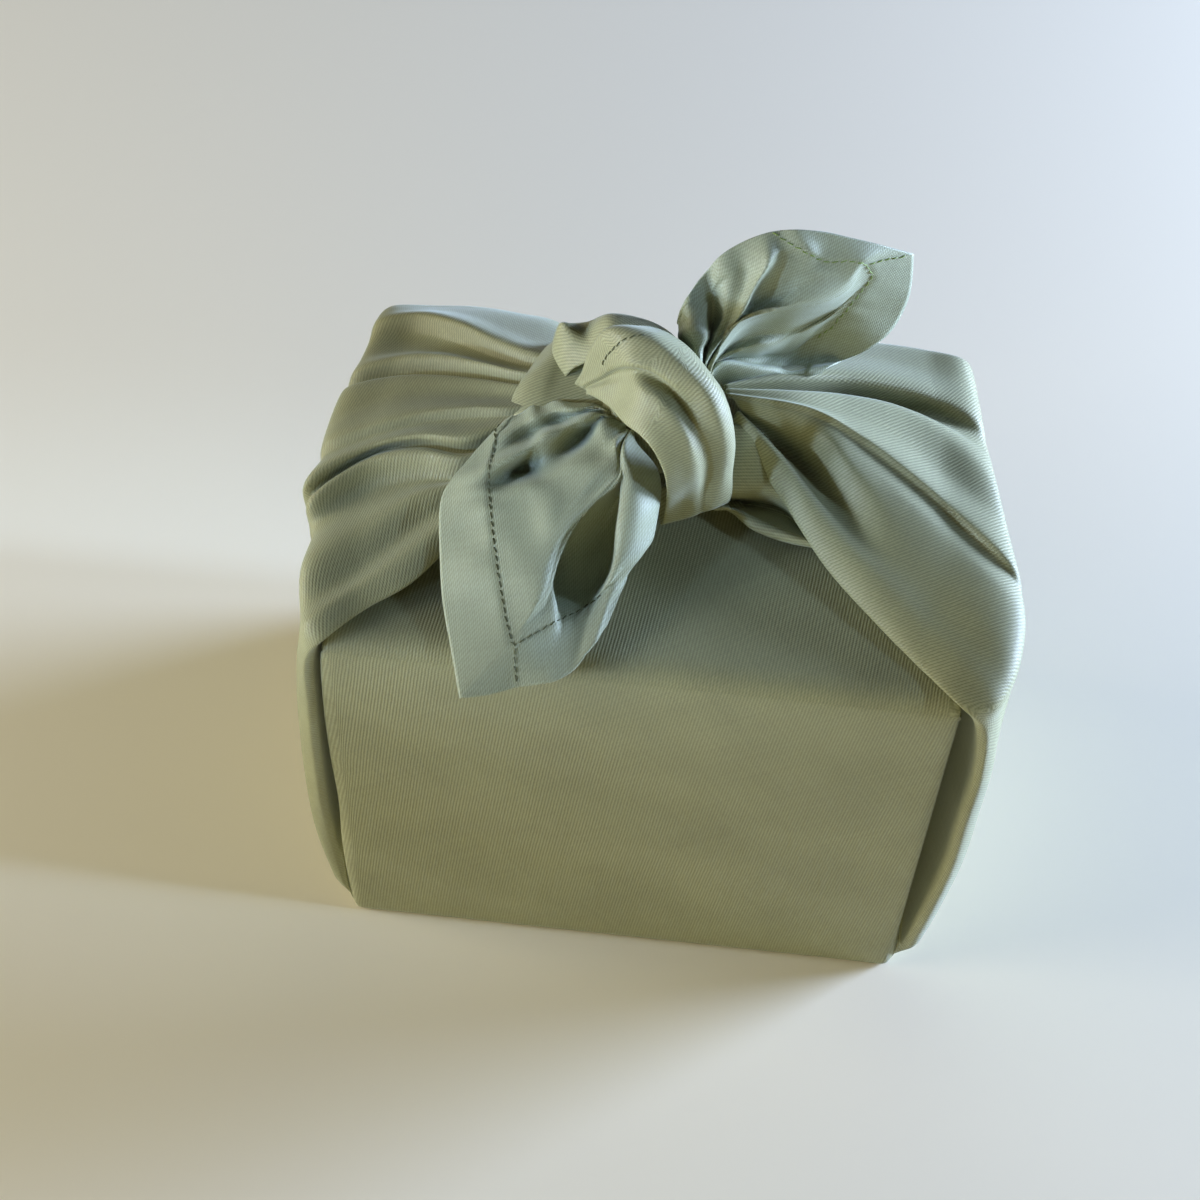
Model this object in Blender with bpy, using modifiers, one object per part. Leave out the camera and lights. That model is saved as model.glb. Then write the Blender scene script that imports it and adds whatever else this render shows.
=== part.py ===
"""A furoshiki: one square cloth wrapped round a box-shaped space and knotted on top.

Run with  blender --background --python part.py  or from the text editor. Metres, +Z up.
The origin is the middle of the base. The front panel faces -Y, and the knot's two ends run
from the left and right. The cloth is a single solid: its base, walls, top flaps and gathered
ends are one thickened sheet, and the knot and its two corners are joined to it.
"""

from math import cos, pi, radians, sin, sqrt

import bpy
import bmesh
from mathutils import Vector

# --- driving sizes, in millimetres ------------------------------------------------------
MM = 0.001
WRAP_WIDTH = 180.0  # across the front panel, X
WRAP_DEPTH = 128.0  # front to back, Y
WRAP_HEIGHT = 160.0  # base to the top flap, Z
CLOTH = 1.2  # thickness of the modelled sheet
BASE_ROUND = 1.8  # how far the base stands in from the walls
TOP_ROUND = 7.0  # bend of the front flap over the top edge
FLAP_GAP = 0.6  # air between the front flap and the back flap under it
FRONT_FLAP_END = 46.0  # the front flap's folded end, Y
BACK_FLAP_END = -38.0  # the back flap's end under the front flap, Y
PANEL_BELLY = 1.4  # how far the panels swell between their corners
FRONT_TURN = 2.0  # the turn where the front panel meets its corner pleats
BACK_TURN = 4.4  # the same at the back, where the pleats are tucked closer
PANEL_STEPS = 10  # columns across a panel

HALF_W = WRAP_WIDTH / 2
HALF_D = WRAP_DEPTH / 2
RING = WRAP_HEIGHT - TOP_ROUND  # height where the walls end and the flaps begin

BASE_ROWS = (
    # height, how far the row stands in from the wall at the base's round
    (0.0, BASE_ROUND),
    (0.5, 0.5),
    (BASE_ROUND, 0.0),
)
BASE_CORNER = (
    # x beyond the end, y behind the panel's face, going round the corner below its pleat
    (-1.4, 0.1),
    (-0.9, 0.4),
    (-0.5, 0.8),
    (-0.2, 1.3),
    (0.0, 1.9),
    (0.1, 2.5),
    (0.2, 3.2),
)
WALL_HEIGHTS = (12.0, 24.0, 45.0, 70.0, 100.0, 128.0, RING)
# Each upright corner has a pleat. Going round it from the panel, the cloth turns the corner,
# runs back to a hidden fold, comes forward again to an outer fold and goes back along the end.
# x sizes are beyond the end of the box, y sizes are behind the panel's face, and there is a
# row for each wall height.
RIGHT_PLEAT = (
    # turn x, hidden fold y, outer fold's front x, its y, its back x
    (0.0, 2.0, 2.0, 1.0, 5.6),
    (0.0, 8.0, 3.8, -0.2, 7.8),
    (0.0, 15.0, 6.2, -0.8, 9.8),
    (0.0, 22.0, 8.4, -1.0, 11.6),
    (0.0, 28.0, 8.4, -1.0, 11.8),
    (0.0, 30.0, 8.6, -1.0, 12.0),
    (0.0, 30.0, 4.6, -0.6, 9.6),
)
LEFT_PLEAT = (
    # turn x, hidden fold y, outer fold's front x, its y, its back x
    (0.4, 2.0, 1.8, 2.0, 4.2),
    (1.2, 3.4, 3.0, 2.8, 6.2),
    (1.6, 7.0, 4.4, 2.4, 8.2),
    (1.0, 16.0, 4.8, 0.6, 8.8),
    (1.8, 26.0, 4.4, -0.6, 8.6),
    (1.8, 30.0, 3.8, -0.8, 8.0),
    (0.6, 30.0, 2.6, -0.6, 6.6),
)
BACK_PLEAT = (
    # turn x, hidden fold y, outer fold's front x, its y, its back x
    (-0.6, 2.0, 1.4, 1.0, 4.6),
    (-1.6, 8.0, 0.9, 0.2, 4.6),
    (-2.2, 15.0, 0.6, -0.4, 4.8),
    (-2.2, 22.0, 0.6, -0.6, 4.8),
    (-2.2, 28.0, 0.6, -0.6, 4.8),
    (-2.2, 30.0, 0.4, -0.6, 4.4),
    (-2.2, 30.0, -0.4, -0.6, 3.6),
)
END_BELLY = 5.0  # how far each end swells between its pleats

# The gathered ends. Each row is one fold line, front to back, with its place (x, y, z) where
# it crosses the top edge of the box, twice on its way in, and at the neck inside the knot.
RIGHT_FOLDS = (
    # fold, over the edge, outer, inner, neck
    ("front_edge", (90, -65.5, 161), (76, -52, 163.5), (47, -21, 171), (12, -1, 179)),
    ("front_roll", (101, -60, 164), (79, -45, 168), (50, -14, 177), (12, 1.5, 183)),
    ("hollow", (105, -52, 165), (80, -33, 167), (48, -2, 175), (12, 4, 185.5)),
    ("crest", (106.5, -40, 167), (80, -17, 174), (48, 5, 184), (12, 7, 188)),
    ("crease", (106, -22, 167), (81, -3, 176), (49, 11, 187), (12, 10, 189.5)),
    ("dip", (101.5, -4, 165), (78, 9, 171), (49, 18, 182), (12, 13, 189.5)),
    ("ridge", (98, 12, 167), (76, 22, 174), (49, 26, 183), (12, 16, 189)),
    ("gap", (95.5, 26, 164), (74, 36, 166), (48, 34, 173), (12, 19, 187.5)),
    ("back_ridge", (93.5, 37, 166), (74, 45, 171), (50, 41, 177), (12, 21.5, 186)),
    ("back_flat", (91.5, 50, 163), (74, 55, 165), (48, 50, 169), (12, 24, 183.5)),
    ("back_edge", (90, 64, 161), (75, 64, 162), (46, 59, 165), (12, 26, 180)),
)
LEFT_FOLDS = (
    # fold, over the edge, outer, inner, neck
    ("front_edge", (-90, -65.5, 161), (-77, -48, 164), (-55, -22, 170), (-26, 1, 175)),
    ("front_roll", (-95.5, -59, 165), (-79, -41, 168), (-57, -16, 174), (-26, 3.5, 178.5)),
    ("hollow", (-98.5, -48, 164), (-80, -30, 167), (-57, -9, 172), (-26, 6, 181)),
    ("low_crest", (-101.5, -34, 167), (-82, -17, 171), (-57, -2, 176), (-26, 8.5, 183)),
    ("dip", (-103, -20, 165), (-83, -6, 168), (-57, 3, 173), (-26, 11, 184.5)),
    ("pleat_one", (-103, -10, 168), (-83, 3, 172), (-56, 8, 177), (-26, 14, 185.5)),
    ("pleat_gap", (-101.5, -2, 165), (-82, 8, 168), (-56, 11.5, 174), (-26, 16.5, 186)),
    ("pleat_two", (-100, 6, 169), (-81, 13, 173), (-55, 16, 178.5), (-26, 19, 186.5)),
    ("wide_dip", (-97.5, 19, 165), (-81, 23, 168), (-54, 21, 175), (-26, 21.5, 186.5)),
    ("ridge", (-95.5, 31, 167), (-80, 31, 172), (-54, 27, 180), (-26, 24, 186)),
    ("gap", (-93.5, 42, 164), (-79, 42, 167), (-52, 34, 175), (-26, 27, 185)),
    ("back_crest", (-92.5, 53, 166), (-77, 54, 170.5), (-52, 42, 179), (-26, 30, 183.5)),
    ("back_flat", (-91.5, 60, 163), (-76, 60, 165), (-50, 51, 169), (-26, 32.5, 181)),
    ("back_edge", (-90, 64, 161), (-75, 64.5, 162), (-48, 59, 165), (-26, 35, 177)),
)

# The knot's hidden middle, leaning back, and the bands of cloth pulled round it.
CORE_CENTRE = (-4.2, 5.1, 187.1)
CORE_RADII = (22, 15, 25)
CORE_LEAN = radians(-24)
REAR_CENTRE = (-8.4, 20.3, 186.2)
REAR_RADII = (25, 12, 15)
REAR_LEAN = radians(-10)
BAND_THICKNESS = 4.0

# Bands of cloth pulled round the knot. Each row is one place along a band, with the points of
# the lines that run along it, from its far edge to its near one.
FRONT_BAND = (
    # place, outer edge, ridge, middle, inner edge
    ("pinch", (-27, 15, 189), (-26.5, 12, 192), (-25, 9, 193.5), (-23.5, 5, 193)),
    ("shoulder", (-21, 20, 206), (-19, 15, 212), (-16, 8, 207), (-14, 0, 197)),
    ("crown", (-7, 17, 213), (-5, 10, 217), (-3, 0, 212), (-5, -9, 199.5)),
    ("brow", (9, 6, 208), (9, -1, 210), (6, -9, 204), (0, -14, 195)),
    ("cheek", (20, 0, 194), (19.5, -7, 192), (13, -14, 188), (2.5, -17, 184)),
    ("low", (20, -3, 176), (18, -9, 172), (12, -13, 169), (2, -15, 170)),
    ("under", (12, -4, 166), (11, -8, 165), (8, -10, 164), (2, -11, 164.5)),
)
SIDE_BAND = (
    # place, outer edge, middle, inner edge
    ("low_front", (-44, -4, 165), (-37, -3, 165), (-26, 0, 166)),
    ("front", (-46, 4, 177), (-38, 3, 179), (-28, 5, 181)),
    ("top", (-43, 17, 185), (-36, 18, 189), (-27, 19, 192)),
    ("back", (-38, 34, 183), (-33, 36, 186), (-26, 37, 187)),
    ("low_back", (-36, 40, 172), (-32, 41, 172), (-26, 41, 172)),
)
REAR_BAND = (
    # place, back edge, crest, front edge
    ("low_left", (-30, 38, 170), (-35, 30, 174), (-35, 20, 176)),
    ("left", (-34, 35, 188), (-34, 26, 197), (-31, 18, 196)),
    ("top", (-21, 32, 202), (-19, 25, 209), (-18, 17, 207)),
    ("right", (-3, 31, 198), (-3, 22, 206), (-4, 14, 206)),
    ("low_right", (11, 27, 182), (13, 18, 190), (10, 11, 192)),
)
# The under layer of the right end, which shows as a lip below the knot.
LIP = (
    # place, upper edge, belly, lower edge
    ("in_the_knot", (12, -3, 178), (12, -10, 170), (10, -11, 163)),
    ("middle", (30, -9, 174), (30, -17, 167), (28, -17, 162.5)),
    ("far_end", (50, -18, 171), (48, -25, 167), (45, -25, 164)),
)

# A corner of the cloth standing out of the knot. Each row is a line from the knot to the
# corner's outline, going round from one hemmed edge to the other.
FRONT_ROOT = (-10, 2, 186)
FRONT_CORNER = (
    # line, near the knot, middle, outline
    ("hem_one_root", (-27, 6, 193), (-38, 6, 189), (-49, 4, 180)),
    ("hem_one", (-30, -6, 193), (-46, -17, 187), (-60, -29, 177)),
    ("face", (-29, -14, 192), (-44, -33, 184), (-58, -52, 169)),
    ("low_face", (-27, -19, 191), (-41, -45, 180), (-54, -68, 162)),
    ("corner", (-24, -22, 190.5), (-37, -53, 177), (-50, -78, 158)),
    ("hem_two", (-20, -24, 189), (-30, -55, 174.5), (-36, -78, 160)),
    ("fold", (-16, -23, 187), (-22, -49, 176), (-24, -70, 163)),
    ("deep", (-14, -15, 175), (-16, -36, 167), (-16, -58, 164)),
    ("roll", (-6, -18, 188), (-5, -32, 180), (-8, -47, 170)),
    ("hem_two_root", (-1, -12, 180), (1, -18, 176), (1, -24, 171)),
)
BACK_ROOT = (8, 12, 187)
BACK_CORNER = (
    # line, near the knot, middle, outline
    ("hem_one_root", (2, 24, 199), (0, 29, 208), (4, 33, 217)),
    ("lobe", (6, 22, 204), (6, 28, 216), (12, 41, 225)),
    ("valley", (10, 27, 200), (12, 35, 210), (19, 46, 225)),
    ("ridge", (14, 25, 209), (21, 35, 220), (27, 48, 226)),
    ("facet", (19, 32, 203), (31, 42, 212), (46, 51, 222)),
    ("corner", (23, 31, 202), (40, 38, 211), (65, 56, 212)),
    ("hem_two", (26, 30, 196), (43, 40, 200), (66, 48, 203)),
    ("rim", (26, 24, 192), (41, 29, 194), (60, 41, 193)),
    ("hem_two_root", (23, 22, 184), (33, 27, 185), (46, 33, 186)),
)


def between(p0, p1, p2, p3, t):
    """The point at t from p1 to p2 on the Catmull-Rom curve through four points."""
    return 0.5 * (
        2 * p1 + (p2 - p0) * t
        + (2 * p0 - 5 * p1 + 4 * p2 - p3) * t * t
        + (3 * p1 - p0 - 3 * p2 + p3) * t ** 3
    )


def smooth(points, steps):
    """Points along a smooth curve through the given ones, with steps between neighbours."""
    ends = [2 * points[0] - points[1], *points, 2 * points[-1] - points[-2]]
    line = [
        between(*ends[i : i + 4], k / steps)
        for i in range(len(points) - 1)
        for k in range(steps)
    ]
    return line + [points[-1]]


def fold_grid(folds, along_steps, across_steps):
    """A grid of points over fold lines: grid[i][j] is i across the folds and j along them."""
    lines = [smooth(list(line), along_steps) for line in folds]
    columns = [smooth(list(section), across_steps) for section in zip(*lines)]
    return [list(line) for line in zip(*columns)]


def table_lines(table):
    return [[Vector(point) for point in row[1:]] for row in table]


def add_grid(bm, grid, flip=False):
    """Adds the grid's faces. They face along across x along, or the other way with flip."""
    rows = [[bm.verts.new(point * MM) for point in line] for line in grid]
    for a, b in zip(rows, rows[1:]):
        for j in range(len(a) - 1):
            corners = (a[j], b[j], b[j + 1], a[j + 1])
            bm.faces.new(corners[::-1] if flip else corners)
    return rows


def new_object(name, bm, collection):
    mesh = bpy.data.meshes.new(name)
    bm.to_mesh(mesh)
    bm.free()
    obj = bpy.data.objects.new(name, mesh)
    collection.objects.link(obj)
    return obj


def thicken(obj, thickness, offset=-1.0):
    """Gives a sheet its thickness: inwards from the modelled face, or on both sides with 0."""
    solid = obj.modifiers.new("Thickness", "SOLIDIFY")
    solid.thickness = thickness * MM
    solid.offset = offset
    return obj


# --- the walls and flaps ----------------------------------------------------------------


def panel_grid(side, half_width, flap_top, flap_end):
    """The front (side -1) or back (side 1) panel: up the wall, over the edge, along the top."""
    bend = flap_top - RING
    far = abs(flap_end - side * (HALF_D - bend))
    grid = []
    for i in range(PANEL_STEPS + 1):
        share = 2 * i / PANEL_STEPS - 1
        x = share * half_width
        belly = PANEL_BELLY * cos(share * pi / 2)
        line = [
            Vector((share * (half_width - inset), side * (HALF_D - inset), height))
            for height, inset in BASE_ROWS
        ]
        for height in WALL_HEIGHTS:
            y = side * (HALF_D + belly * sin(pi * height / RING))
            line.append(Vector((x, y, height)))
        for k in range(1, 5):
            turn = k * pi / 8
            y = side * (HALF_D - bend + bend * cos(turn))
            line.append(Vector((x, y, RING + bend * sin(turn))))
        for k in range(1, 6):
            line.append(Vector((x, side * (HALF_D - bend - far * k / 5), flap_top)))
        grid.append(line)
    return grid


def pleat_lines(side, end, pleat):
    """The upright lines of one corner pleat, panel to outer fold. side -1 front, end 1 right."""
    start = (-(FRONT_TURN if side < 0 else BACK_TURN), 0.0)
    paths = [
        (height, [(x - inset, y + inset) for x, y in (start, *BASE_CORNER)])
        for height, inset in BASE_ROWS
    ]
    for height, (turn, deep, front, lip, back) in zip(WALL_HEIGHTS, pleat):
        path = (
            start,
            (turn - 0.7, 0.25),
            (turn, 1.0),
            (turn + 0.3, deep - 0.4),
            (turn + 0.9, deep),
            (turn + 1.5, deep - 0.4),
            (front, lip + 0.9),
            (0.5 * (front + back) - 0.2, lip),
        )
        paths.append((height, path))
    return [
        [Vector((end * (HALF_W + path[i][0]), side * (HALF_D - path[i][1]), z)) for z, path in paths]
        for i in range(len(BASE_CORNER) + 1)
    ]


def end_wall_line(end, over, front, back):
    """A fold line on the end wall, from the base to the ring, below its place over the edge."""
    line = []
    for height, inset in BASE_ROWS:
        limit = HALF_D - inset - 6.0
        x = end * (HALF_W - inset + 0.3)
        line.append(Vector((x, max(-limit, min(limit, over.y)), height)))
    limit = HALF_D - 2.0
    y = max(-limit, min(limit, over.y))
    share = (y + HALF_D) / WRAP_DEPTH
    for height, front_row, back_row in zip(WALL_HEIGHTS, front, back):
        stand_off = front_row[-1] * (1 - share) + back_row[-1] * share
        stand_off += END_BELLY * sin(pi * sqrt(share)) * sqrt(sin(pi * height / WRAP_HEIGHT))
        crest = max(stand_off, abs(over.x) - HALF_W + 1.0)
        stand_off += (crest - stand_off) * (height / RING) ** 4
        line.append(Vector((end * (HALF_W + stand_off), y, height)))
    return line


def end_grids(end, table, front, back):
    """The two corner pleats of an end, and its cloth from the base up and in to the knot."""
    folds = table_lines(table)
    front_pleat = pleat_lines(-1, end, front)
    back_pleat = pleat_lines(1, end, back)[::-1]
    walls = [front_pleat[-1]]
    walls += [end_wall_line(end, fold[0], front, back) for fold in folds[1:-1]]
    walls += [back_pleat[0]]
    lines = [wall + smooth([wall[-1], *fold], 3)[1:] for wall, fold in zip(walls, folds)]
    columns = [smooth(list(section), 2) for section in zip(*lines)]
    return front_pleat, [list(line) for line in zip(*columns)], back_pleat


def wrap_sheet(collection):
    """The whole wrap as one open sheet: base, four walls with pleated corners, and four flaps."""
    bm = bmesh.new()
    back_top = WRAP_HEIGHT - CLOTH - FLAP_GAP
    add_grid(bm, panel_grid(-1, HALF_W - FRONT_TURN, WRAP_HEIGHT, FRONT_FLAP_END))
    add_grid(bm, panel_grid(1, HALF_W - BACK_TURN, back_top, BACK_FLAP_END), flip=True)
    for end, table, pleat in ((1, RIGHT_FOLDS, RIGHT_PLEAT), (-1, LEFT_FOLDS, LEFT_PLEAT)):
        for grid in end_grids(end, table, pleat, BACK_PLEAT):
            add_grid(bm, grid, flip=end < 0)
    bmesh.ops.remove_doubles(bm, verts=bm.verts, dist=0.01 * MM)
    rim = [
        edge for edge in bm.edges
        if edge.is_boundary and all(vert.co.z < 0.1 * MM for vert in edge.verts)
    ]
    bmesh.ops.contextual_create(bm, geom=rim)
    bmesh.ops.recalc_face_normals(bm, faces=bm.faces)
    return thicken(new_object("wrapping_cloth", bm, collection), CLOTH)


# --- the knot ---------------------------------------------------------------------------


def ball(name, centre, radii, lean, collection):
    """A leaning ellipsoid, for cloth pressed solid inside the knot."""
    bm = bmesh.new()
    bmesh.ops.create_uvsphere(bm, u_segments=20, v_segments=12, radius=1.0)
    obj = new_object(name, bm, collection)
    obj.location = Vector(centre) * MM
    obj.scale = Vector(radii) * MM
    obj.rotation_euler.x = lean
    return obj


def band(name, table, thickness, collection):
    """A band of cloth at the knot, thickened inwards to meet the middle."""
    bm = bmesh.new()
    add_grid(bm, fold_grid(list(zip(*table_lines(table))), 2, 2))
    return thicken(new_object(name, bm, collection), thickness)


def corner(name, root, table, collection):
    """A free corner of the cloth, as a sheet whose lines begin close together in the knot."""
    lines = [[line[0].lerp(Vector(root), 0.65), *line] for line in table_lines(table)]
    bm = bmesh.new()
    add_grid(bm, fold_grid(lines, 3, 2))
    return thicken(new_object(name, bm, collection), CLOTH, 0.0)


def join(target, tool):
    union = target.modifiers.new("Join " + tool.name, "BOOLEAN")
    union.operation = "UNION"
    union.solver = "EXACT"
    union.object = tool
    tool.hide_render = True
    tool.display_type = "WIRE"


def cloth_material():
    material = bpy.data.materials.new("sage_cotton_twill")
    material.use_nodes = True
    shader = material.node_tree.nodes["Principled BSDF"]
    shader.inputs["Base Color"].default_value = (0.235, 0.255, 0.155, 1.0)
    shader.inputs["Roughness"].default_value = 0.85
    shader.inputs["Metallic"].default_value = 0.0
    return material


def main():
    for obj in list(bpy.data.objects):
        bpy.data.objects.remove(obj)
    parts = bpy.data.collections.new("furoshiki_wrap")
    tools = bpy.data.collections.new("joined_shapes")
    for collection in (parts, tools):
        bpy.context.scene.collection.children.link(collection)
    cloth = wrap_sheet(parts)
    pieces = [
        ball("knot_core", CORE_CENTRE, CORE_RADII, CORE_LEAN, tools),
        ball("knot_rear", REAR_CENTRE, REAR_RADII, REAR_LEAN, tools),
        band("front_band", FRONT_BAND, BAND_THICKNESS, tools),
        band("side_band", SIDE_BAND, BAND_THICKNESS, tools),
        band("rear_band", REAR_BAND, BAND_THICKNESS, tools),
        band("lip", LIP, CLOTH, tools),
        corner("front_corner", FRONT_ROOT, FRONT_CORNER, tools),
        corner("back_corner", BACK_ROOT, BACK_CORNER, tools),
    ]
    for piece in pieces:
        join(cloth, piece)
    cloth.data.materials.append(cloth_material())


main()
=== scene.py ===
"""A furoshiki wrap in sage cotton twill: one square cloth folded round a box shape and knotted.

The cloth is built as it is tied: the strip that goes under and over the box, the two ends
that are pleated, gathered and drawn up, the knot, and the two hemmed corners left free.
Metres, +Z up, front panel to -Y. The fold tables are in millimetres.
"""
import math

import bpy
import numpy as np
from mathutils import Matrix, Vector


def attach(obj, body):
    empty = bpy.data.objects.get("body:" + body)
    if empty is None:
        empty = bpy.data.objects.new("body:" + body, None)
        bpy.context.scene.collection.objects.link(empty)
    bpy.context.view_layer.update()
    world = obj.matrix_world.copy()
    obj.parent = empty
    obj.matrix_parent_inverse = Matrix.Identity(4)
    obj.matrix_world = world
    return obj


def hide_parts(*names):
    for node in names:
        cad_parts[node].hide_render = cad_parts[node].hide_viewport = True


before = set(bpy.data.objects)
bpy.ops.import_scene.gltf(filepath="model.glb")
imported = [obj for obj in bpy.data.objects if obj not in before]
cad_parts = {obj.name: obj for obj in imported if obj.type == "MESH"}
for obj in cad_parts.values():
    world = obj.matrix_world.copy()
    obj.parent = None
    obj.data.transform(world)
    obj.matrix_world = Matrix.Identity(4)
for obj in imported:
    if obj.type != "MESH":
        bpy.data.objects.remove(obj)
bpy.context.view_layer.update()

# --- Camera -------------------------------------------------------------------------------
# A short telephoto lens looks down on the front panel and the knot, a little from the right.
# Places on the knot and the free corners are given further down as picks in its picture.

PICTURE = 1200  # pixels along each side of the square picture
LENS, SENSOR = 69.31, 36.0
CAMERA_AIM = Vector((-0.01649, 0.0, 0.103771))
CAMERA_DISTANCE = 0.727414
CAMERA_ELEVATION, CAMERA_YAW, CAMERA_ROLL = (math.radians(a) for a in (55.0142, 3.9147, 2.6381))

camera_back = Vector((
    math.sin(CAMERA_YAW) * math.cos(CAMERA_ELEVATION),
    -math.cos(CAMERA_YAW) * math.cos(CAMERA_ELEVATION),
    math.sin(CAMERA_ELEVATION),
))
level_right = Vector((0, 0, 1)).cross(camera_back).normalized()
tilt = Matrix.Rotation(CAMERA_ROLL, 3, camera_back)
camera_right = tilt @ level_right
camera_up = tilt @ camera_back.cross(level_right)
camera_place = CAMERA_AIM + camera_back * CAMERA_DISTANCE

lens = bpy.data.cameras.new("camera")
lens.sensor_width = SENSOR
lens.lens = LENS
lens.clip_end = 20.0
camera = bpy.data.objects.new("camera", lens)
bpy.context.scene.collection.objects.link(camera)
camera.matrix_world = Matrix.Translation(camera_place) @ Matrix(
    (camera_right, camera_up, camera_back)
).transposed().to_4x4()
bpy.context.scene.camera = camera

# --- Wrap strip ---------------------------------------------------------------------------
# The middle of the cloth: front flap, front panel, base, back panel and back flap in one run.
# At each upright corner it turns and goes in to the hidden fold of the corner pleat.
# It is plain cotton twill, held flat by the box shape inside and by the tied ends above.

MM = 0.001
HALF_W, HALF_D, HEIGHT = 90.0, 64.0, 160.0
TOP_BEND = 7.0  # bend of the front flap over the top edge
RING = HEIGHT - TOP_BEND  # where the walls end and the flaps begin
BACK_TOP = 158.2  # the back flap lies under the front one
FRONT_START, BACK_START = 2.0, 4.4  # how far in from the corners the flat panels start
FRONT_FLAP_END, BACK_FLAP_END = 46.0, -38.0  # where the two flaps end over the top
CLOTH = 0.5  # thickness of the twill
BASE_ROWS = ((0.0, 1.8), (0.5, 0.5), (1.8, 0.0))  # height, stands in from the wall
WALL_HEIGHTS = (12.0, 24.0, 45.0, 70.0, 100.0, 128.0, RING)
SWELL = 1.4  # how far the panels bulge half way up
RELAX_ROUNDS, RELAX_DRAG, RELAX_PUSH = 520, 0.93, 0.11  # settling of the flat layout
# The base's corner, from the panel round to the outer fold: x beyond the side, y behind the panel.
BASE_CORNER = (
    (-1.4, 0.1), (-0.9, 0.4), (-0.5, 0.8), (-0.2, 1.3), (0.0, 1.9), (0.1, 2.5), (0.2, 3.2),
)
# Corner pleats: turn x, hidden fold y, outer fold's front x, its y, its back x, bottom to top.
RIGHT_PLEAT = (
    (0.0, 2.0, 2.0, 1.0, 5.6),
    (0.0, 8.0, 3.8, -0.2, 7.8),
    (0.0, 15.0, 6.2, -0.8, 9.8),
    (0.0, 22.0, 8.4, -1.0, 11.6),
    (0.0, 28.0, 8.4, -1.0, 11.8),
    (0.0, 30.0, 8.6, -1.0, 12.0),
    (0.0, 30.0, 4.6, -0.6, 9.6),
)
LEFT_PLEAT = (
    (0.4, 2.0, 1.8, 2.0, 4.2),
    (1.2, 3.4, 3.0, 2.8, 6.2),
    (1.6, 7.0, 4.4, 2.4, 8.2),
    (1.0, 16.0, 4.8, 0.6, 8.8),
    (1.8, 26.0, 4.4, -0.6, 8.6),
    (1.8, 30.0, 3.8, -0.8, 8.0),
    (0.6, 30.0, 2.6, -0.6, 6.6),
)
BACK_PLEAT = (
    (-0.6, 2.0, 1.4, 1.0, 4.6),
    (-1.6, 8.0, 0.9, 0.2, 4.6),
    (-2.2, 15.0, 0.6, -0.4, 4.8),
    (-2.2, 22.0, 0.6, -0.6, 4.8),
    (-2.2, 28.0, 0.6, -0.6, 4.8),
    (-2.2, 30.0, 0.4, -0.6, 4.4),
    (-2.2, 30.0, -0.4, -0.6, 3.6),
)
# Faint drag folds on the front panel: from x, z to x, z, their half width and depth.
PANEL_FOLDS = (
    (-80, 118, 10, 96, 9, -0.5),
    (-70, 96, 40, 58, 11, 0.55),
    (-50, 60, 70, 22, 12, -0.5),
    (20, 138, 84, 100, 10, 0.45),
    (-84, 44, -30, 16, 9, 0.5),
    (30, 36, 86, 10, 8, 0.4),
    (-60, 140, 0, 132, 7, 0.35),
)


def gap_root(a, b):
    """The square root of the distance between points, which spaces a centripetal curve."""
    return np.maximum(np.sqrt(np.linalg.norm(b - a, axis=-1, keepdims=True)), 1e-4)


def run_smooth(rows, size):
    """Rows of points joined by smooth curves, with a new row about every size millimetres.

    Also returns the new row at which each given one lies.
    """
    rows = np.asarray(rows, float)
    rows = np.concatenate(([2 * rows[0] - rows[1]], rows, [2 * rows[-1] - rows[-2]]))
    out, marks = [], [0]
    for p0, p1, p2, p3 in zip(rows, rows[1:], rows[2:], rows[3:]):
        t1 = gap_root(p0, p1)
        t2 = t1 + gap_root(p1, p2)
        t3 = t2 + gap_root(p2, p3)
        spacing = np.linalg.norm(p2 - p1, axis=-1)
        steps = max(1, round(float(0.5 * (spacing.mean() + spacing.max())) / size))
        for k in range(steps):
            t = t1 + (t2 - t1) * k / steps
            a1 = ((t1 - t) * p0 + t * p1) / t1
            a2 = ((t2 - t) * p1 + (t - t1) * p2) / (t2 - t1)
            a3 = ((t3 - t) * p2 + (t - t2) * p3) / (t3 - t2)
            b1 = ((t2 - t) * a1 + t * a2) / t2
            b2 = ((t3 - t) * a2 + (t - t1) * a3) / (t3 - t1)
            out.append(((t2 - t) * b1 + (t - t1) * b2) / (t2 - t1))
        marks.append(len(out))
    out.append(rows[-2])
    return np.array(out), marks


def fold_surface(lines, across, along):
    """A fine grid over fold lines, grid[line][place], and where the given ones lie in it."""
    lines = np.asarray(lines, float)
    fine, place_marks = run_smooth(lines.transpose(1, 0, 2), along)
    grid, line_marks = run_smooth(fine.transpose(1, 0, 2), across)
    return {"grid": grid, "lines": line_marks, "places": place_marks}


def relax(flat, solid):
    """Moves flat points until they are as far apart as the same points on the folded cloth."""
    links = (
        (slice(1, None), slice(None), slice(None, -1), slice(None)),
        (slice(None), slice(1, None), slice(None), slice(None, -1)),
        (slice(1, None), slice(1, None), slice(None, -1), slice(None, -1)),
        (slice(1, None), slice(None, -1), slice(None, -1), slice(1, None)),
    )
    lengths = [np.linalg.norm(solid[a, b] - solid[c, d], axis=-1) for a, b, c, d in links]
    speed = np.zeros_like(flat)
    for _ in range(RELAX_ROUNDS):
        push = np.zeros_like(flat)
        for (a, b, c, d), length in zip(links, lengths):
            span = flat[a, b] - flat[c, d]
            now = np.maximum(np.linalg.norm(span, axis=-1), 1e-6)
            move = span * (0.5 * (length / now - 1.0))[..., None]
            push[a, b] += move
            push[c, d] -= move
        speed = RELAX_DRAG * speed + RELAX_PUSH * push
        flat = flat + speed
    return flat


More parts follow.
